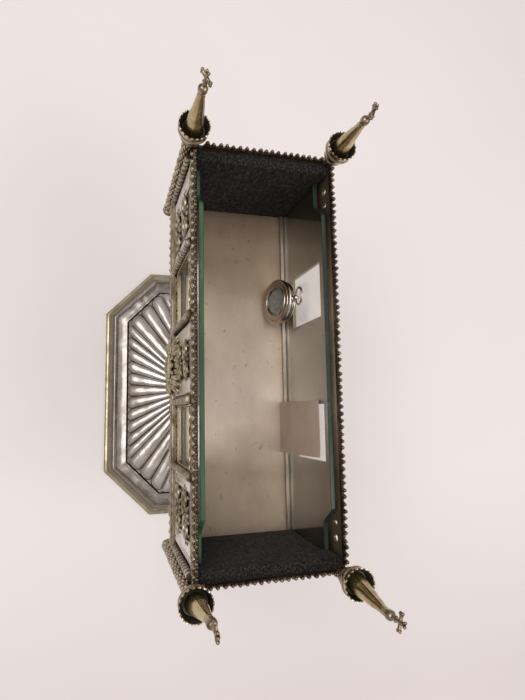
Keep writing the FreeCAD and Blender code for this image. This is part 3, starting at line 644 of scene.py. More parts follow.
def make_spools():
    """Two eight-sided spools with stepped collars; the upper one is upside down."""
    levels = [(14.2, 0.0), (15.0, 0.02), (15.0, 0.06), (14.0, 0.09), (12.6, 0.10), (12.9, 0.14), (11.4, 0.19)]
    levels += [(9.4, 0.28), (8.2, 0.42), (7.9, 0.56), (8.2, 0.70), (9.4, 0.80), (9.6, 0.84), (10.8, 0.87)]
    levels += [(11.0, 0.92), (11.0, 0.97), (10.4, 1.0)]
    for word in ("lower", "upper"):
        node = "stem_" + word + "_spool"
        start, end = (spot.z for spot in reach(node))
        if word == "upper":
            start, end = end, start
        shape = Shape()
        shape.skin([stem_ring(half, start + (end - start) * share) for half, share in levels])
        piece("stem_" + word + "_moulding", shape, [stem_silver], "stem_silver", node, sharp=30.0)


def make_knop():
    """A round knop with sixteen lobes and a narrow belt."""
    low, high = reach("stem_knop")
    middle = (low.z + high.z) / 2
    half_height = (high.z - low.z) / 2
    levels = 32
    rows = []
    for level in range(levels + 1):
        tilt = -pi / 2 + pi * level / levels
        belt = 1.0 if abs(level - levels / 2) > 2 else 1.05
        row = []
        for angle in turns(192):
            lobe = 0.86 + 0.14 * abs(sin(8 * angle)) ** 0.6 * cos(tilt)
            radius = 10.2 + (high.y - 10.9) * cos(tilt) * min(lobe * belt, 1.0)
            row.append((foot_x + radius * cos(angle), radius * sin(angle), middle + half_height * sin(tilt)))
        rows.append(row)
    shape = Shape()
    shape.skin(rows)
    piece("stem_lobed_knop", shape, [stem_silver], "stem_silver", "stem_knop", sharp=60.0)


def make_bearer():
    low, high = reach("case_bearer")
    curve = [(0.0, 0.0), (0.04, 0.10), (0.2, 0.26), (0.6, 0.56), (0.9, 0.82), (1.0, 1.0)]
    curve = [(share, high.z - lift * (high.z - low.z)) for share, lift in curve]
    shape = lobed_form((high.x - 0.6, high.y - 0.6, 20.0), 0.0, 16.0, curve, 0.16, [5, 3, 15, 3], 32)
    piece("case_bearer_lobes", shape, [stem_silver], "stem_silver", "case_bearer", sharp=70.0)


make_foot_border()
make_foot_lobes()
make_spools()
make_knop()
make_bearer()
dress(hidden_steel, "foot_base_plate", "tie_rod", "tie_rod_nuts", "turret_rods")


# Case walls and their ornament
dress(wall_silver, "front_wall", "back_wall", "left_end_wall", "right_end_wall")
dress(channel_metal, "front_glass_channel", "back_glass_channel")
dress(floor_metal, "case_floor")

shaft_low, shaft_high = reach("front_left_shaft")
shaft_radius = (shaft_high.x - shaft_low.x) / 2
turret_x = half_x + 3.5
turret_y = half_y + 1.7
moulding_low, moulding_high = reach("base_moulding")
bead_low, bead_high = reach("rim_bead")
window_centre = 46.0
window_half = 18.0
sill = z_floor + 12.5
lintel = sill + 51.0
colonnette_out = 21.5
relief_low = moulding_high.z + 1.0
wall_end = half_x - 3.5


def four_sides(gap):
    """Start, end and outward direction of the lines along the walls' outer faces, between the turrets."""
    stop_x = turret_x - shaft_radius - gap
    stop_y = turret_y - shaft_radius - gap
    yield Vector((-stop_x, -half_y, 0)), Vector((stop_x, -half_y, 0)), Vector((0, -1, 0))
    yield Vector((stop_x, half_y, 0)), Vector((-stop_x, half_y, 0)), Vector((0, 1, 0))
    yield Vector((-half_x, stop_y, 0)), Vector((-half_x, -stop_y, 0)), Vector((-1, 0, 0))
    yield Vector((half_x, -stop_y, 0)), Vector((half_x, stop_y, 0)), Vector((1, 0, 0))


def on_wall(x, z, side, proud):
    """A spot a little in front of a long wall's outer face."""
    return Vector((x, side * (half_y + proud), z))


def rectangle(left, right, low, high, inset):
    """The four corners of a rectangle, moved inwards by an inset."""
    left, right, low, high = left + inset, right - inset, low + inset, high - inset
    return (left, low), (right, low), (right, high), (left, high)


def ray(angle):
    """Directions along and across an angle in the plane of a long wall."""
    return Vector((cos(angle), 0, sin(angle))), Vector((-sin(angle), 0, cos(angle)))


def make_base_moulding():
    low = moulding_low.z
    profile = [(0, low)] + round_section(1.8, low + 1.45, 1.4) + [(0.6, low + 2.9), (0.6, low + 3.2)]
    profile += round_section(1.2, low + 4.05, 0.8) + [(0.3, low + 4.9), (0.3, low + 5.3)]
    profile += round_section(0.8, low + 6.2, 0.85) + [(0.4, low + 7.6), (0, moulding_high.z)]
    shape = Shape()
    for start, end, out in four_sides(0.1):
        shape.strip(profile, start, end, out, pieces=24)
    piece("base_moulding_profile", shape, [ornament], "ornament_silver", "base_moulding", sharp=50.0)


def make_rim_bead():
    """A rail with slanting leaves of uneven size, a small bead between each pair and a vine below."""
    middle = (bead_low.z + bead_high.z) / 2
    rail = [(0, middle - 1.7), (0.5, middle - 1.6), (0.5, middle + 1.6), (0, middle + 1.7)]
    per_wave = 10
    shape = Shape()
    for start, end, out in four_sides(0.2):
        along = (end - start).normalized()
        length = (end - start).length
        shape.strip(rail, start, end, out)
        steps = round(length / 6.6) * per_wave
        vine = []
        for k in range(steps + 1):
            height = bead_low.z - 1.6 + 1.1 * sin(2 * pi * k / per_wave)
            vine.append(start + along * (length * k / steps) + out * 0.7 + upward * height)
        shape.tube(vine, 0.62, sides=6, number=1)
        count = round(length / 4.7)
        for k in range(count):
            spot = start + along * (length * (k + 0.5) / count) + out * 0.45 + upward * middle
            uneven = 1.0 + wobble(spot.x, spot.y, spot.z, 3.1, 0.3)
            lean = (along * 1.8 + upward * 1.3) * uneven
            cross = (upward * 1.1 - along * 0.5) * uneven
            shape.blob(spot, cross, out * 1.05, lean, sides=8)
            shape.blob(spot + lean * 0.5, cross * 0.45, out * 1.12, lean * 0.45, sides=6, number=1)
            size = 1.45 * uneven
            knob = spot + along * (length * 0.5 / count) + upward * (z_rim - 0.6 - middle) - out * 0.2
            if k < count - 1:
                shape.blob(knob, along * size, out * 1.35, upward * size, sides=10, number=1)
    piece("rim_leaf_band", shape, [cresting_metal, cartouche_metal], "ornament_silver", "rim_bead")


def make_lower_fringe():
    """A hanging band with a rope at the top, pointed lobes and a bead at each tip."""
    low, high = reach("lower_fringe")
    band = [(-0.4, high.z - 5.4), (0.1, high.z - 5.6), (0.1, high.z), (-0.4, high.z)]
    shape = Shape()
    for start, end, out in four_sides(0.4):
        along = (end - start).normalized()
        length = (end - start).length
        start, end = start + out * 2.5, end + out * 2.5
        shape.strip(band, start, end, out)
        count = round(length / 5.7)
        step = length / count
        for k in range(count):
            spot = start + along * (step * (k + 0.5))
            # Height, half width, depth, half drop and sides of the lobe, its rib and the bead.
            lumps = [(high.z - 5.2, step * 0.46, 0.62, 4.4, 10), (high.z - 5.8, step * 0.2, 0.69, 2.6, 8)]
            lumps.append((low.z + 1.5, 1.25, 0.68, 1.4, 10))
            for height, half, depth, drop, sides in lumps:
                shape.blob(spot + upward * height, along * half, out * depth, upward * -drop, sides=sides)
            edge = spot + along * (step / 2) + upward * (high.z - 6.6)
            if k < count - 1:
                shape.blob(edge, along * 0.8, out * 0.6, upward * -1.2, sides=8)
        beads = round(length / 2.2)
        for k in range(beads):
            spot = start + along * (length * (k + 0.5) / beads) + upward * (high.z - 1.2)
            shape.blob(spot, along * 0.95 + upward * 0.4, out * 0.69, upward - along * 0.2, sides=8)
    piece("lower_fringe_drops", shape, [ornament], "ornament_silver", "lower_fringe")


def make_cresting(name):
    """A row of rounded leaves on a narrow flat strip along the rim."""
    low, high = reach(name)
    size = high - low
    along, across = Vector((1, 0, 0)), Vector((0, 1, 0))
    if size.y > size.x:
        along, across = across, along
    length = size.dot(along)
    thick = size.dot(across) / 2
    start = (low + high) / 2 - along * (length / 2)
    start.z = low.z
    bevel = thick * 0.7
    rail = [(-thick, 0), (thick, 0), (thick, 1.5), (bevel, 1.8), (-bevel, 1.8), (-thick, 1.5)]
    shape = Shape()
    shape.strip(rail, start, start + along * length, across)
    count = ceil(length / 4.1)
    step = length / count
    outward = across if start.dot(across) > 0 else -across
    for k in range(count):
        shift = wobble(start.x + k * 3.7, start.y, 5.0, 1.7, 0.22)
        spot = start + along * (step * (k + 0.5 + shift))
        uneven = wobble(spot.x, spot.y, 0.0, 2.3, 0.8)
        peak = min(1.9 + uneven, size.z - 2.85)
        curl = outward * (0.5 + wobble(spot.y, spot.x, 0.0, 3.1, 0.5))
        wide = along * (step * (0.34 + 0.1 * uneven))
        leaf = spot + upward * 2.8 + curl * 0.6
        shape.blob(leaf, wide, across * (thick * 1.3), upward * peak + curl, sides=14, levels=8)
        for side in (-1, 1):
            leaf = spot + along * (side * step * 0.30) + upward * (1.9 + 0.5 * uneven * side)
            lean = upward * 1.2 + along * (side * 0.3)
            shape.blob(leaf, along * (step * 0.22), across * thick, lean, sides=10)
        vein = spot + upward * (2.8 + peak * 0.6) + curl * 1.2
        shape.blob(vein, along * (step * 0.2), across * (thick * 1.35), upward * 0.8, sides=8, number=1)
    piece(name + "_leaves", shape, [cresting_metal, paler_cresting], "ornament_silver", name)


def add_rope(shape, x, y, ends, size, hand, groove):
    """An upright rope of two thick strands, with grooves between them darkened by patina and painted shade.
    """
    pitch = 11.0
    groove_edge = 0.42

    def strands(angle, z):
        bulge = abs(sin(angle + hand * 2 * pi * z / pitch))
        return size * (0.76 + 0.24 * bulge ** 0.6), bulge < groove_edge

    shape.carved(x, y, ends, 24, 160, strands, groove)


def make_colonnettes(name, side):
    """Twisted columns with a ringed foot and cap, one at each window jamb."""
    low, high = reach(name)
    y = side * (half_y + 1.4)
    ring = [(2.0, 0.0), (2.6, 0.25), (2.6, 0.9), (2.1, 1.1), (2.1, 1.5), (2.45, 1.7), (2.45, 2.3), (1.9, 3.0)]
    shape = Shape()
    for end in (-1, 1):
        for jamb in (-1, 1):
            x = end * window_centre + jamb * colonnette_out
            add_rope(shape, x, y, (low.z + 2.6, high.z - 2.6), 2.45, jamb, 1)
            shape.turned([(r, low.z + rise) for r, rise in ring], x, y, sides=20)
            shape.turned([(r, high.z - rise) for r, rise in ring], x, y, sides=20, number=2)
    piece(name + "_twisted", shape, [ornament, groove_patina_and_shade, cresting_metal], "ornament_silver", name)


def make_window_frames(name, side):
    """A narrow raised moulding round each window, on the outer face."""
    shape = Shape()
    for middle in (-window_centre, window_centre):
        rows = []
        for out, proud in ((0.0, -0.2), (0.0, 0.6), (0.2, 0.9), (0.6, 0.9), (0.8, 0.6), (0.9, -0.2)):
            opening = rectangle(middle - window_half, middle + window_half, sill, lintel, -out)
            rows.append([on_wall(x, z, side, proud) for x, z in opening])
        shape.skin(rows, caps=False, along=True)
    piece(name, shape, [cartouche_metal], "wall_silver", sharp=30.0)


def spiral(centre, size, start, rounds, hand, side, steps, shrink=0.86, proud=0.8):
    """Points of a flat scroll in front of a long wall."""
    spots = []
    for k in range(steps + 1):
        share = k / steps
        angle = start + hand * 2 * pi * rounds * share
        radius = size * (1 - shrink * share)
        spots.append(on_wall(centre[0] + radius * cos(angle), centre[1] + radius * sin(angle), side, proud))
    return spots


def add_leaf(shape, x, z, length, width, angle, side, proud):
    """A pointed leaf with a raised middle rib."""
    along, across = ray(angle)
    out = Vector((0, side, 0))
    spot = on_wall(x, z, side, 0.0) + along * (length / 2)
    shape.blob(spot, across * (width / 2), out * proud, along * (length / 2), sides=10)
    shape.blob(spot, across * (width * 0.12), out * (proud + 0.3), along * (length * 0.46), sides=6)


def add_open_scrolls(shape, left, right, low, high, side):
    """Tiers of paired scrolls with a dark eye of painted shade, and a leaf rosette between each pair."""
    middle = (left + right) / 2
    tiers = 2
    tall = (high - low) / tiers
    size = min((right - left) * 0.27, tall * 0.4)
    eye_size = size * 0.42
    for tier in range(tiers):
        level = low + tall * (tier + 0.5)
        for hand in (-1, 1):
            x, z = middle + hand * (right - left) * 0.27, level + hand * tall * 0.06
            begin = pi / 2 + hand * pi / 2
            shape.tube(spiral((x, z), size, begin, 1.3, hand, side, 34), lambda share: 1.9 - 0.9 * share)
            eye = on_wall(x, z, side, 0.45)
            # The dark eye is painted shade.
            shape.blob(eye, (eye_size, 0, 0), (0, 0.25, 0), (0, 0, eye_size), sides=16, number=1)
            for number in range(6):
                angle = begin + hand * (0.5 + 0.75 * number)
                leaf = (x + size * 0.95 * cos(angle), z + size * 0.95 * sin(angle))
                add_leaf(shape, *leaf, size * 0.5, size * 0.3, angle + hand * 0.6, side, 1.3)
        for angle in turns(8):
            add_leaf(shape, middle, level, tall * 0.24, tall * 0.1, angle, side, 1.5)
        shape.blob(on_wall(middle, level, side, 0.6), (1.6, 0, 0), (0, 1.3, 0), (0, 0, 1.6))


def make_wall_relief(name, side):
    """Open scrolls and a rope on the end panels, scrollwork in the middle of a long wall."""
    shape = Shape()
    high = z_rim - 11.6
    edge = window_centre + colonnette_out + 3.2
    inner = window_centre - colonnette_out - 3.2
    for hand in (-1, 1):
        left, right = sorted((hand * (edge + 7.0), hand * (wall_end - 16.0)))
        add_open_scrolls(shape, left, right, relief_low, high, side)
        ends = (relief_low, bead_low.z - 0.5)
        add_rope(shape, hand * (wall_end - 0.9), side * (half_y + 1.2), ends, 2.7, hand, 2)
    add_open_scrolls(shape, -inner * 0.5, inner * 0.5, relief_low + 10.0, high, side)
    for middle in (-window_centre, window_centre):
        for band_low, band_high in ((relief_low, sill - 2.0), (lintel + 2.0, bead_low.z - 1.0)):
            z = (band_low + band_high) / 2
            tall = (band_high - band_low) * 0.42
            for number in range(6):
                x = middle + (number - 2.5) * 6.0
                path = spiral((x, z), min(2.7, tall), 0.0 if number % 2 else pi, 1.2, 1, side, 18)
                shape.tube(path, lambda share: 0.75 - 0.25 * share, sides=6)
                for way in (1, -1):
                    add_leaf(shape, x, z + way * tall * 0.6, tall * 0.6, 1.6, way * pi / 2, side, 0.9)
    piece(name + "_foliage", shape, [ornament, painted_shade_hollows, groove_patina_and_shade], "ornament_silver", name)


def make_plain_plates(name, side):
    """Plain polished plates beside the middle panel and the end scrolls, with a rail by each end."""
    inner = window_centre - colonnette_out - 3.4
    edge = window_centre + colonnette_out + 3.0
    tall = bead_low.z - 1.0
    short = z_rim - 11.2
    spans = [(-inner, -inner * 0.52, tall), (inner * 0.52, inner, tall)]
    for hand in (-1, 1):
        for near, far, high in ((edge, edge + 7.5, short), (wall_end - 17.0, wall_end - 8.4, short),
                                (wall_end - 8.0, wall_end - 5.0, tall)):
            spans.append((*sorted((hand * near, hand * far)), high))
    shape = Shape()
    for left, right, high in spans:
        rows = []
        for inset, proud in ((0.0, -0.2), (0.0, 0.5), (0.5, 0.9), (1.1, 0.7), (1.5, 0.75)):
            plate = rectangle(left, right, relief_low, high, inset)
            rows.append([on_wall(x, z, side, proud) for x, z in plate])
        shape.skin(rows)
    piece(name, shape, [bright_plate], "wall_silver", sharp=30.0)


def make_cartouche(name, side):
    """A bossed shield with a rolled border, side scrolls and a leaf crest."""
    low, high = reach(name)
    out = Vector((0, side, 0))
    middle_z = (low.z + high.z) / 2 + 2.0
    half_wide = (high.x - low.x) / 2
    half_tall = (high.z - low.z) / 2
    seat = 3.2
    shape = Shape()

    def spot(x, z, proud):
        return on_wall(x, middle_z + z, side, seat + proud)

    outline = []
    for angle in turns(72):
        pinch = 1.0 - 0.10 * abs(sin(2 * angle)) ** 2 + 0.05 * cos(4 * angle)
        narrow = 1.0 if sin(angle) > 0 else 1.0 - 0.35 * abs(sin(angle))
        across = half_wide * 0.74 * cos(angle) * pinch * narrow
        outline.append((across, half_tall * 0.72 * sin(angle) * pinch))
    # Share of the outline's size, and how far the face stands proud there.
    levels = [(1.0, 0.0), (1.0, 1.2), (0.96, 1.9), (0.9, 2.1), (0.84, 1.7), (0.8, 1.2), (0.7, 1.5)]
    levels += [(0.5, 2.2), (0.25, 2.7), (0.02, 2.85)]
    shape.skin([[spot(x * scale, z * scale, proud) for x, z in outline] for scale, proud in levels])
    for x, z in outline[::2]:
        shape.blob(spot(x * 0.92, z * 0.92, 1.9), (0.85, 0, 0), (0, 0.95, 0), (0, 0, 0.85), sides=8)
    for hand in (-1, 1):
        for way, level, size in ((1, 0.42, 4.2), (-1, -0.36, 3.4)):
            x, z = hand * half_wide * 0.76, half_tall * level
            path = spiral((x, middle_z + z), size, way * pi / 2, 1.2, -hand * way, side, 24, 0.82, seat + 1.6)
            shape.tube(path, lambda share: 1.15 - 0.5 * share)
            shape.blob(spot(x, z, 1.5), (size * 0.3, 0, 0), (0, 1.8, 0), (0, 0, size * 0.3))
        for number in range(4):
            along, across = ray(radians(90 - hand * (16 + 22 * number)))
            shape.blob(spot(0, 0, 1.2) + along * (half_tall * 0.78), across * 1.9, out * 1.4, along * 3.6)
    shape.blob(spot(0, half_tall * 0.76, 1.4), (2.3, 0, 0), out * 1.8, (0, 0, 4.2), sides=12)
    for number in range(9):
        place = (number - 4) / 4
        foot = spot(half_wide * 0.78 * place, half_tall * 0.62, 1.4)
        end = on_wall(half_wide * 0.95 * place, foot.z + 11.0 - 5.0 * abs(place), side, 0.7)
        leaf = (end - foot) / 2
        cross = leaf.cross(Vector((1, 0, 0))).normalized()
        shape.blob((foot + end) / 2, (2.5, 0, 0), cross * 1.3, leaf * 1.15)
        shape.blob((foot + end) / 2 + out * 0.6, (0.5, 0, 0), cross * 1.2, leaf, sides=6)
    for x, z in outline[::4]:
        radial = Vector((x, 0, z)).normalized()
        around = Vector((-radial.z, 0, radial.x))
        shape.blob(spot(x * 0.98, z * 0.98, 1.8), around * 1.5, out * 1.3, radial * 2.6 + out * 0.8, sides=8)
    shape.blob(on_wall(0, low.z + 2.6, side, seat + 1.3), (1.7, 0, 0), out * 1.3, (0, 0, 2.5), sides=12)
    piece(name + "_shield", shape, [cartouche_metal], "ornament_silver", name)


def make_end_panel(name, end):
    """A framed plain panel with a leaf rosette on the outside of an end wall."""
    low = moulding_high.z + 3.0
    high = bead_low.z - 3.0
    wide = half_y - 9.0
    middle = Vector((end * half_x, 0, (low + high) / 2))
    shape = Shape()
    rows = []
    for inset, proud in ((0.0, -0.2), (0.0, 0.7), (0.6, 1.2), (1.5, 1.2), (2.1, 0.6), (2.6, -0.2)):
        panel = rectangle(-wide, wide, low, high, inset)
        rows.append([Vector((end * (half_x + proud), y, z)) for y, z in panel])
    shape.skin(rows, caps=False)
    for ring, (size, away) in enumerate(((6.4, 7.0), (4.2, 3.6))):
        for k in range(8):
            angle = 2 * pi * (k + 0.5 * ring) / 8
            along = Vector((0, cos(angle), sin(angle)))
            across = Vector((0, -sin(angle), cos(angle)))
            depth = Vector((end * (1.0 + 0.35 * ring), 0, 0))
            leaf = middle + Vector((end * 0.2, 0, 0)) + along * away
            shape.blob(leaf, across * (size * 0.36), depth, along * (size * 0.62))
    shape.blob(middle, (0, 2.0, 0), (end * 1.55, 0, 0), (0, 0, 2.0), sides=12)
    piece(name, shape, [ornament], "ornament_silver")


make_base_moulding()
make_rim_bead()
make_lower_fringe()
for node in ("front_cresting", "back_cresting", "left_cresting", "right_cresting"):
    make_cresting(node)
for word, side in (("front", -1), ("back", 1)):
    make_colonnettes(word + "_window_colonnettes", side)
    make_window_frames(word + "_window_frames", side)
    make_wall_relief(word + "_scrollwork", side)
    make_plain_plates(word + "_plain_plates", side)
    make_cartouche(word + "_cartouche", side)
make_end_panel("left_end_panel", -1)
make_end_panel("right_end_panel", 1)


# Turrets
spire_base = 6.2
spire_tip = 1.9
finial_turn = {"front_left": 31.0, "front_right": 8.0, "back_left": -13.0, "back_right": -15.0}


def make_shaft(corner, x, y):
    """A round shaft covered with rows of slanting pointed scales."""
    node = corner + "_shaft"
    low, high = reach(node)
    row_tall = 5.4
    per_round = 7
    plain_end = 1.2
    groove_edge = 0.5

    def scales(angle, z):
        if min(z - low.z, high.z - z) < plain_end:
            return shaft_radius, False
        climb = z / row_tall
        turn = per_round * angle / (2 * pi)
        rib = abs(sin(pi * (turn + climb)))
        cross = abs(sin(pi * (turn - climb * 0.5)))
        bulge = min(rib ** 0.7, 0.2 + 0.8 * cross ** 0.7)
        return shaft_radius * (0.74 + 0.26 * bulge), bulge < groove_edge

    shape = Shape()
    # The grooves between the scales take the near-black metal: patina and painted shade.
    shape.carved(x, y, (low.z, high.z), 84, 330, scales, 1)
    piece(corner + "_scaled_shaft", shape, [turret_metal, groove_patina_and_shade], "turret_gilt", node, sharp=60.0)


def make_cup(corner, x, y):
    """A collar, and a flared cup with a ring round it and a rim of small scallops."""
    node = corner + "_cup"
    low, high = reach(node)
    rim_radius = (high.x - low.x) / 2
    scallops = 18
    flare = 0.66
    shape = Shape()
    collar = [(1.5, 0.0), (4.6, 0.0), (5.9, 0.5), (6.3, 1.3), (5.9, 2.1), (5.3, 2.4), (5.3, 2.8), (1.5, 2.8)]
    shape.turned([(r, low.z + rise) for r, rise in collar], x, y, sides=40)
    # Share of the height, and the radius there, up the outside and down the inside.
    outer = [(0.16, 1.5), (0.16, 4.9), (0.24, 6.6), (0.32, 7.2), (0.44, 7.6), (0.50, 7.9), (0.53, 8.5)]
    outer += [(0.58, 8.8), (0.63, 8.5), (0.66, 8.0), (0.70, 8.3), (0.80, 8.8), (0.92, 9.15), (1.0, 9.25)]
    inner = [(1.0, 8.5), (0.93, 8.1), (0.85, 7.8), (0.72, 7.3), (0.61, 6.9), (0.60, 6.7), (0.60, 1.5)]
    rows = []
    for share, radius in outer + inner:
        top = max(0.0, (share - flare) / (1 - flare))
        row = []
        for angle in turns(216):
            wave = abs(sin(scallops * angle / 2)) ** 0.6
            size = min(radius * (1.0 + 0.05 * top * (wave - 0.8)), rim_radius)
            z = low.z + (high.z - low.z) * share - top * 1.6 * (1 - wave)
            row.append((x + size * cos(angle), y + size * sin(angle), z))
        rows.append(row)
    # The inside faces take the darker metal, painted shade inside the cup.
    shape.bands(rows, [0] * len(outer) + [1] * len(inner))
    piece(corner + "_scalloped_cup", shape, [turret_metal, painted_shade_hollows], "turret_gilt", node, sharp=50.0)


def tip_place(corner):
    """The middle of a turret's finial, which the spire leans to."""
    low, high = reach(corner + "_finial")
    return (low + high) / 2


def make_spire(corner, x, y):
    """A hammered cone, a little bent, with two soldered seams and a ringed neck."""
    node = corner + "_spire"
    low, high = reach(node)
    tip = tip_place(corner)
    seams = (13, 14, 40)
    steps = 60
    rows = []
    for level in range(steps + 1):
        share = level / steps
        z = low.z + (high.z - low.z) * share
        middle_x = x + (tip.x - x) * share
        middle_y = y + (tip.y - y) * share
        radius = spire_base + (spire_tip - spire_base) * share
        neck = 0.25 if 0.93 < share < 0.965 else 0.0
        row = []
        for k, angle in enumerate(turns(72)):
            dent = wobble(radius * cos(angle) + x, radius * sin(angle) + y, z, 5.0, 0.16)
            seam = 0.45 if k in seams and share < 0.9 else 0.0
            size = radius - 0.14 + dent - seam + neck if 0 < level < steps else radius - 0.1
            row.append((middle_x + size * cos(angle), middle_y + size * sin(angle), z))
        rows.append(row)
    shape = Shape()
    shape.skin(rows)
    piece(corner + "_cone", shape, [spire_metal], "turret_gilt", node, body=corner + "_spire_top")


def make_finial(corner):
    """A ball with a belt, and a small cross with forked arm ends."""
    node = corner + "_finial"
    foot = reach(node)[0].z
    middle = tip_place(corner)
    ball = foot + 2.8
    hub = Vector((middle.x, middle.y, foot + 12.2))
    turn = radians(finial_turn[corner])
    along = Vector((cos(turn), sin(turn), 0))
    across = Vector((-sin(turn), cos(turn), 0))
    profile = [(1.9, foot)]
    for k, (radius, z) in enumerate(round_section(0.0, ball, 2.8, -58, 78, 14)):
        profile.append((radius * (1.0 if abs(k - 6) > 1 else 0.95), z))
    profile += [(0.95, ball + 3.2), (1.2, ball + 3.7), (0.9, ball + 4.2), (0.8, ball + 5.2)]
    shape = Shape()
    shape.turned(profile, middle.x, middle.y, sides=32)
    for arm, cross in ((along, upward), (-along, upward), (upward, along), (-upward, along)):
        rows = []
        for k in range(7):
            half = 1.25 - 0.25 * sin(pi * k / 6)
            spot = hub + arm * (3.4 * k / 6)
            rows.append([spot + cross * (half * cos(angle)) + across * sin(angle) for angle in turns(10)])
        shape.skin(rows)
        for fork in (-1, 1):
            tip = hub + arm * 3.75 + cross * (fork * 0.8)
            shape.blob(tip, cross * 0.9, across, arm * 1.05 + cross * (fork * 0.3))
    shape.blob(hub, along * 1.5, across * 1.2, upward * 1.5, sides=12)
    piece(corner + "_cross_finial", shape, [finial_metal], "turret_gilt", node, body=corner + "_spire_top")


def make_drops():
    """Lobed drops with a ringed neck and a small bead under the shafts."""
    low, high = reach("turret_pendants")
    top = high.z
    drop = [(3.4, top), (3.6, top - 0.5), (3.3, top - 1.0)] + round_section(0.0, top - 3.8, 4.7, 62, -78, 16)
    bead = [(1.0, low.z + 2.9)] + round_section(0.0, low.z + 1.62, 1.55, 50, -90, 10)
    neck_radius = 3.4

    def lobes(angle, radius, z):
        return 0.93 + 0.07 * abs(cos(4 * angle)) ** 0.6 if radius > neck_radius else 0.97

    shape = Shape()
    for side_x, side_y in corners.values():
        shape.turned(drop, side_x * turret_x, side_y * turret_y, sides=64, warp=lobes)
        shape.turned(bead, side_x * turret_x, side_y * turret_y, sides=24)
    piece("turret_lobed_drops", shape, [ornament], "ornament_silver", "turret_pendants", sharp=60.0)


for corner, (side_x, side_y) in corners.items():
    place = (corner, side_x * turret_x, side_y * turret_y)
    make_shaft(*place)
    make_cup(*place)
    make_spire(*place)
    make_finial(corner)
make_drops()


# Panes, pads, capsule and card
def pane_outline(low, high):
    """The pane's outline in X and Z, with a lower shoulder at each end."""
    end = high.x
    shoulder = high.z - 12.0
    curve_end = end - 15.0
    curve_start = curve_end - 12.0
    right = [(end, low.z), (end, shoulder)]
    for k in range(17):
        share = k / 16
        rise = (high.z - shoulder) * (0.5 - 0.5 * cos(pi * share))
        right.append((curve_end + (curve_start - curve_end) * share, shoulder + rise))
    return right + [(-x, z) for x, z in reversed(right)]


def inset_outline(outline, inset):
    """An outline moved inwards by a small step."""
    moved = []
    count = len(outline)
    for k, spot in enumerate(outline):
        here = Vector(spot)
        a = (here - Vector(outline[k - 1])).normalized()
        b = (Vector(outline[(k + 1) % count]) - here).normalized()
        normal = Vector((-a.y - b.y, a.x + b.x))
        normal.normalize()
        moved.append(here + normal * (inset / max(0.5, normal.dot(Vector((-b.y, b.x))))))
    return moved


def make_pane(node, body, edge):
    low, high = reach(node)
    outline = pane_outline(low, high)
    chamfer = 0.35
    inner = inset_outline(outline, chamfer)
    rings = [(inner, low.y), (outline, low.y + chamfer), (outline, high.y - chamfer), (inner, high.y)]
    shape = Shape()
    shape.skin([[Vector((x, y, z)) for x, z in points] for points, y in rings], number=1)
    # The last two faces are the broad ones.
    shape.numbers[-2:] = [0, 0]
    piece(node + "_pane", shape, [pane_glass, edge], "pane_glass", node, body=body, sharp=25.0)


def make_pad(node, end):
    """A velvet-covered board: a crowned face, rolled edges and slight puckers along them."""
    low, high = reach(node)
    across, tall = 64, 56
    thick = high.x - low.x
    back = low.x if end < 0 else high.x
    roll_start, roll_end = 0.7, 0.95

    def puckers(y, z):
        return wobble(0.0, y, z, 5.0, 0.10)

    rings = []
    for depth in (0.0, 0.35, roll_start, 0.86, roll_end):
        inset = 0.0 if depth < roll_start else (depth - roll_start) ** 2 * 9.0
        y0, y1 = low.y + inset, high.y - inset
        z0, z1 = low.z + inset * 0.4, high.z - inset
        spots = [(y0 + (y1 - y0) * k / across, z0) for k in range(across)]
        spots += [(y1, z0 + (z1 - z0) * k / tall) for k in range(tall)]
        spots += [(y1 - (y1 - y0) * k / across, z1) for k in range(across)]
        spots += [(y0, z1 - (z1 - z0) * k / tall) for k in range(tall)]
        ring = []
        for y, z in spots:
            pucker = puckers(y, z) if depth > 0.3 else 0.0
            ring.append(Vector((back - end * (thick * depth + pucker), y, z)))
        rings.append(ring)
    shape = Shape()
    shape.skin(rings, caps=False)
    # The face fills the last ring.
    face = []
    for r in range(tall + 1):
        row = []
        for c in range(across + 1):
            y = y0 + (y1 - y0) * c / across
            z = z0 + (z1 - z0) * r / tall
            edge = min(c, across - c, r, tall - r)
            crown = roll_end + 0.05 * (1 - (1 - min(edge / 10.0, 1.0)) ** 2)
            soft = wobble(end * 40.0, y, z, 11.0, 0.08) * min(edge / 6.0, 1.0)
            pucker = puckers(y, z) * max(0.0, 1 - edge / 4.0)
            depth = thick * crown - 0.12 * min(edge, 1) + soft + pucker
            row.append(Vector((back - end * depth, y, z)))
        face.append(row)
    shape.skin(face, around=False, caps=False)
    shape.faces.append(tuple(range(len(rings[0]))))
    shape.numbers.append(0)
    pad = piece(node + "_velvet", shape, [velvet], "black_velvet", node, sharp=60.0)


capsule_lean = radians(20.0)
capsule_thickness = 8.0
capsule_front = -capsule_thickness / 2
capsule_back = capsule_thickness / 2
capsule_bezel_depth = 2.5
capsule_barrel = 14.4
capsule_band = 1.6
capsule_plate = 1.2
pane_face = reach("back_glass")[0].y
seat_gap = 0.3
pendant_y = 0.5
knob_height = 18.2
knob_radius = 2.0
bow_radius = 5.8


def capsule_place():
    """The matrix that leans a piece made upright, facing -Y, into the capsule's place."""
    band = capsule_barrel + capsule_band / 2
    below = band * cos(capsule_lean) + (capsule_back - capsule_band) * sin(capsule_lean)
    behind = capsule_back * cos(capsule_lean) + capsule_barrel * sin(capsule_lean)
    low, high = reach("capsule_case")
    middle = Vector(((low.x + high.x) / 2, pane_face - seat_gap - behind, z_floor + seat_gap + below))
    return Matrix.Translation(middle) @ Matrix.Rotation(-capsule_lean, 4, "X")


def capsule_piece(name, shape, node, material=capsule_metal, slot="capsule_metal", body="capsule", sharp=40):
    """Leans a shape into the capsule's place and makes a piece of it."""
    place = capsule_place()
    shape.points = [place @ Vector(p) for p in shape.points]
    piece(name, shape, [material], slot, node, body=body, sharp=sharp)


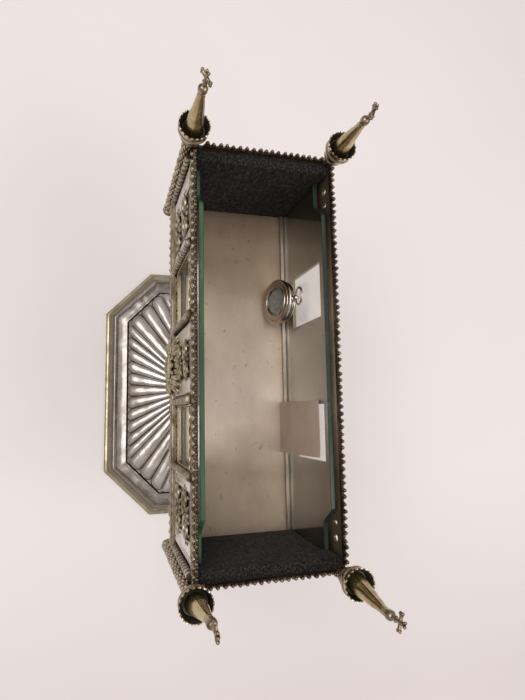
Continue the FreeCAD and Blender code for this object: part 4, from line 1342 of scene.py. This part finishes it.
def capsule_turned(profile, ring=False):
    """A form turned about the capsule's own axis from (radius, y) points; a ring is open in the middle."""
    rows = []
    for radius, y in profile:
        rows.append([(radius * cos(angle), y, radius * sin(angle)) for angle in turns(96)])
    shape = Shape()
    shape.skin(rows, along=ring)
    return shape


def make_capsule_barrel():
    """A drum with three raised rings round it and a shallow step on its back."""
    back = capsule_back
    front = capsule_bezel_depth - back
    floor = back - capsule_plate
    profile = [(2.0, back - 0.3), (11.0, back - 0.3), (11.6, back), (13.6, back), (14.2, back - 0.3)]
    profile.append((capsule_barrel, back - 0.8))
    ring = [(0.62, 13.9), (0.5, 14.5), (0.25, 15.0), (0.0, 15.2), (-0.25, 15.0), (-0.5, 14.5), (-0.62, 13.9)]
    for middle in (back - 1.55, back - 3.0, back - 4.45):
        profile += [(radius, middle + offset) for offset, radius in ring]
    profile += [(14.2, front + 0.2), (14.0, front), (12.0, front), (12.0, floor), (2.0, floor)]
    capsule_piece("capsule_ringed_drum", capsule_turned(profile), "capsule_case")


def make_capsule_bezel():
    """A broad bezel with two fine rings on its sloping face."""
    # Radius, and the depth behind the front.
    profile = [(9.6, 1.3), (9.6, 0.3), (9.8, 0.05), (10.3, 0.0), (10.8, 0.15), (11.0, 0.45), (11.4, 0.4)]
    profile += [(13.4, 0.7), (13.6, 0.95), (13.9, 0.8), (15.3, 1.0), (15.9, 1.2), (16.2, 1.6), (16.3, 1.9)]
    profile += [(16.1, capsule_bezel_depth - 0.1), (15.8, capsule_bezel_depth), (11.0, capsule_bezel_depth)]
    profile.append((11.0, 1.3))
    shape = capsule_turned([(radius, capsule_front + depth) for radius, depth in profile], ring=True)
    capsule_piece("capsule_ringed_bezel", shape, "capsule_bezel")


def make_capsule_crystal():
    front = capsule_front
    dome = [(10.7, front + 2.45), (10.8, front + 2.2), (10.8, front + 1.4), (9.55, front + 1.35)]
    dome += [(9.5 * cos(radians(k * 10)), front + 1.35 - 1.1 * sin(radians(k * 10))) for k in range(1, 9)]
    dome.append((0.3, front + 0.25))
    capsule_piece("capsule_domed_crystal", capsule_turned(dome), "capsule_crystal", pane_glass, "pane_glass")


def make_capsule_dial():
    """A card with a raised ring of small worn marks, close behind the crystal."""
    plate = capsule_back - capsule_plate
    dial_radius = 11.8
    angles = turns(120)
    rows = []
    for ring in range(25):
        radius = max(0.2, dial_radius * ring / 24)
        ridge = 0.3 if ring in (11, 18) else 0.0
        row = []
        for k, angle in enumerate(angles):
            mark = 0.45 if 13 <= ring <= 16 and k % 10 < 4 else 0.0
            row.append((radius * cos(angle), plate - 3.1 - ridge - mark, radius * sin(angle)))
        rows.append(row)
    rows.append([(dial_radius * cos(angle), plate, dial_radius * sin(angle)) for angle in angles])
    shape = Shape()
    shape.skin(rows)
    capsule_piece("capsule_mottled_dial", shape, "capsule_dial", dial_card, "dial_card")


def make_capsule_stalk():
    """A collared stalk with a ribbed knob."""
    profile = [(1.55, 13.0), (1.55, 15.0), (2.2, 15.2), (2.3, 15.7), (1.7, 16.1), (1.55, 16.5)]
    profile += round_section(0.0, knob_height, knob_radius, -50, 90, 12)

    def ribs(angle, radius, z):
        return 0.92 + 0.08 * abs(cos(6 * angle)) if radius > 1.6 and z > 16.8 else 1.0

    shape = Shape()
    shape.turned(profile, 0.0, pendant_y, sides=72, warp=ribs)
    capsule_piece("capsule_ribbed_stalk", shape, "capsule_pendant", sharp=60.0)


def make_capsule_bow():
    """A wire ring through the knob, upright on the leaning capsule, a little thicker at its top."""
    upright = Vector((0, -sin(capsule_lean), cos(capsule_lean)))
    knob = Vector((0, pendant_y, knob_height))
    path = []
    for angle in turns(72):
        sideways = Vector((bow_radius * sin(angle), 0, 0))
        path.append(knob + sideways + upright * (bow_radius - bow_radius * cos(angle)))
    shape = Shape()
    shape.tube(path, lambda share: 0.64 + 0.14 * sin(pi * share) ** 2, sides=12, closed=True)
    capsule_piece("capsule_wire_bow", shape, "capsule_bow", body="bow")


def make_card():
    """A curled card with worn corners that stands against the back pane."""
    low, high = reach("label_card")
    wide, tall = 40, 60
    thick = 0.4
    top_y = high.y - thick
    foot_y = top_y - 4.5
    shape = Shape()
    layers = []
    for layer in (0, 1):
        rows = []
        for r in range(tall + 1):
            v = r / tall
            bow_in = 1.6 * 4 * v * (1 - v)
            row = []
            for c in range(wide + 1):
                u = c / wide
                trim = 0.5 * (max(0.0, abs(u - 0.5) - 0.46) + max(0.0, abs(v - 0.5) - 0.47)) * 6.0
                curl = 0.35 * (abs(u - 0.5) * 2) ** 3
                y = foot_y + (top_y - foot_y) * v - bow_in + layer * thick
                y += wobble(u * 30, 0, v * 60, 9.0, 0.12)
                y = min(max(y - curl, low.y), high.y)
                x = low.x + (high.x - low.x) * u
                x += (0.5 - u) * trim * (1 if abs(v - 0.5) > 0.44 else 0)
                row.append(Vector((x, y, low.z + (high.z - low.z) * v)))
            rows.append(row)
        layers.append(rows)
        shape.skin(rows, around=False, caps=False)
    front, rear = layers
    for k in (0, -1):
        shape.skin([front[k], rear[k]], around=False, caps=False)
    for k in (0, -1):
        shape.skin([[row[k] for row in front], [row[k] for row in rear]], around=False, caps=False)
    piece("label_curled_card", shape, [card_paper], "dial_card", "label_card", body="card")


make_pane("front_glass", "front_pane", front_pane_edge)
make_pane("back_glass", "back_pane", back_edge_painted_shade)
make_pad("left_end_pad", -1)
make_pad("right_end_pad", 1)
make_capsule_barrel()
make_capsule_bezel()
make_capsule_crystal()
make_capsule_dial()
make_capsule_stalk()
make_capsule_bow()
make_card()


# Table, light and camera
def make_table():
    paint = Paint("table")
    cloud = paint.noise(3.0, detail=3.0)
    colour = paint.ramp(cloud, (0.3, (0.85, 0.785, 0.772)), (0.7, (0.88, 0.815, 0.802)))
    # Painted shade: the table darkens towards +X.
    shade = paint.ramp(paint.axis("X"), (0.10, 1.0), (0.32, (0.86, 0.845, 0.845)))
    paint.surface(Base_Color=paint.mix(1.0, colour, shade, "MULTIPLY"))
    paint.surface(Roughness=0.75, Specular_IOR_Level=0.15)
    half = 4.0
    points = [(-half, -half, 0), (half, -half, 0), (half, half, 0), (-half, half, 0)]
    mesh = bpy.data.meshes.new("table")
    mesh.from_pydata(points, [], [(0, 1, 2, 3)])
    mesh.materials.append(paint.material)
    table = bpy.data.objects.new("table", mesh)
    bpy.context.scene.collection.objects.link(table)


def make_world():
    """A pale room, brighter overhead than at the horizon."""
    world = bpy.data.worlds.new("room")
    world.use_nodes = True
    tree = world.node_tree
    place = tree.nodes.new("ShaderNodeTexCoord")
    split = tree.nodes.new("ShaderNodeSeparateXYZ")
    shade = tree.nodes.new("ShaderNodeValToRGB")
    tree.links.new(place.outputs["Generated"], split.inputs[0])
    tree.links.new(split.outputs["Z"], shade.inputs["Fac"])
    horizon, overhead = shade.color_ramp.elements
    horizon.position = 0.0
    horizon.color = (0.30, 0.275, 0.255, 1.0)
    overhead.position = 0.75
    overhead.color = (0.72, 0.705, 0.70, 1.0)
    back = tree.nodes["Background"]
    tree.links.new(shade.outputs["Color"], back.inputs["Color"])
    back.inputs["Strength"].default_value = 0.90
    bpy.context.scene.world = world


def make_lamp(name, place, aim, size, power):
    lamp = bpy.data.lights.new(name, "AREA")
    lamp.size = size
    lamp.energy = power
    made = bpy.data.objects.new(name, lamp)
    made.location = place
    made.rotation_euler = (Vector(aim) - Vector(place)).to_track_quat("-Z", "Y").to_euler()
    bpy.context.scene.collection.objects.link(made)


camera_place = Vector((0.03247, -0.09030, 0.51522))
camera_right = Vector((0.01926, 0.95745, 0.28796))
camera_down = Vector((0.99261, 0.01621, -0.12028))
camera_forward = Vector((-0.11983, 0.28814, -0.95006))
focal_pixels = 514.5
image_height = 700.0


def make_camera():
    data = bpy.data.cameras.new("camera")
    data.sensor_width = 36.0
    data.lens = focal_pixels / image_height * data.sensor_width
    data.clip_start = 0.01
    made = bpy.data.objects.new("camera", data)
    axes = Matrix((camera_right, -camera_down, -camera_forward)).transposed()
    made.matrix_world = Matrix.Translation(camera_place) @ axes.to_4x4()
    bpy.context.scene.collection.objects.link(made)
    bpy.context.scene.camera = made


make_table()
make_world()
make_lamp("key", (-0.15, -0.62, 1.60), (0.0, 0.0, 0.12), 1.1, 11.0)
make_lamp("fill", (0.6, 1.0, 1.40), (0.0, 0.0, 0.12), 1.0, 7.0)
make_camera()
bpy.context.scene.view_settings.view_transform = "Standard"
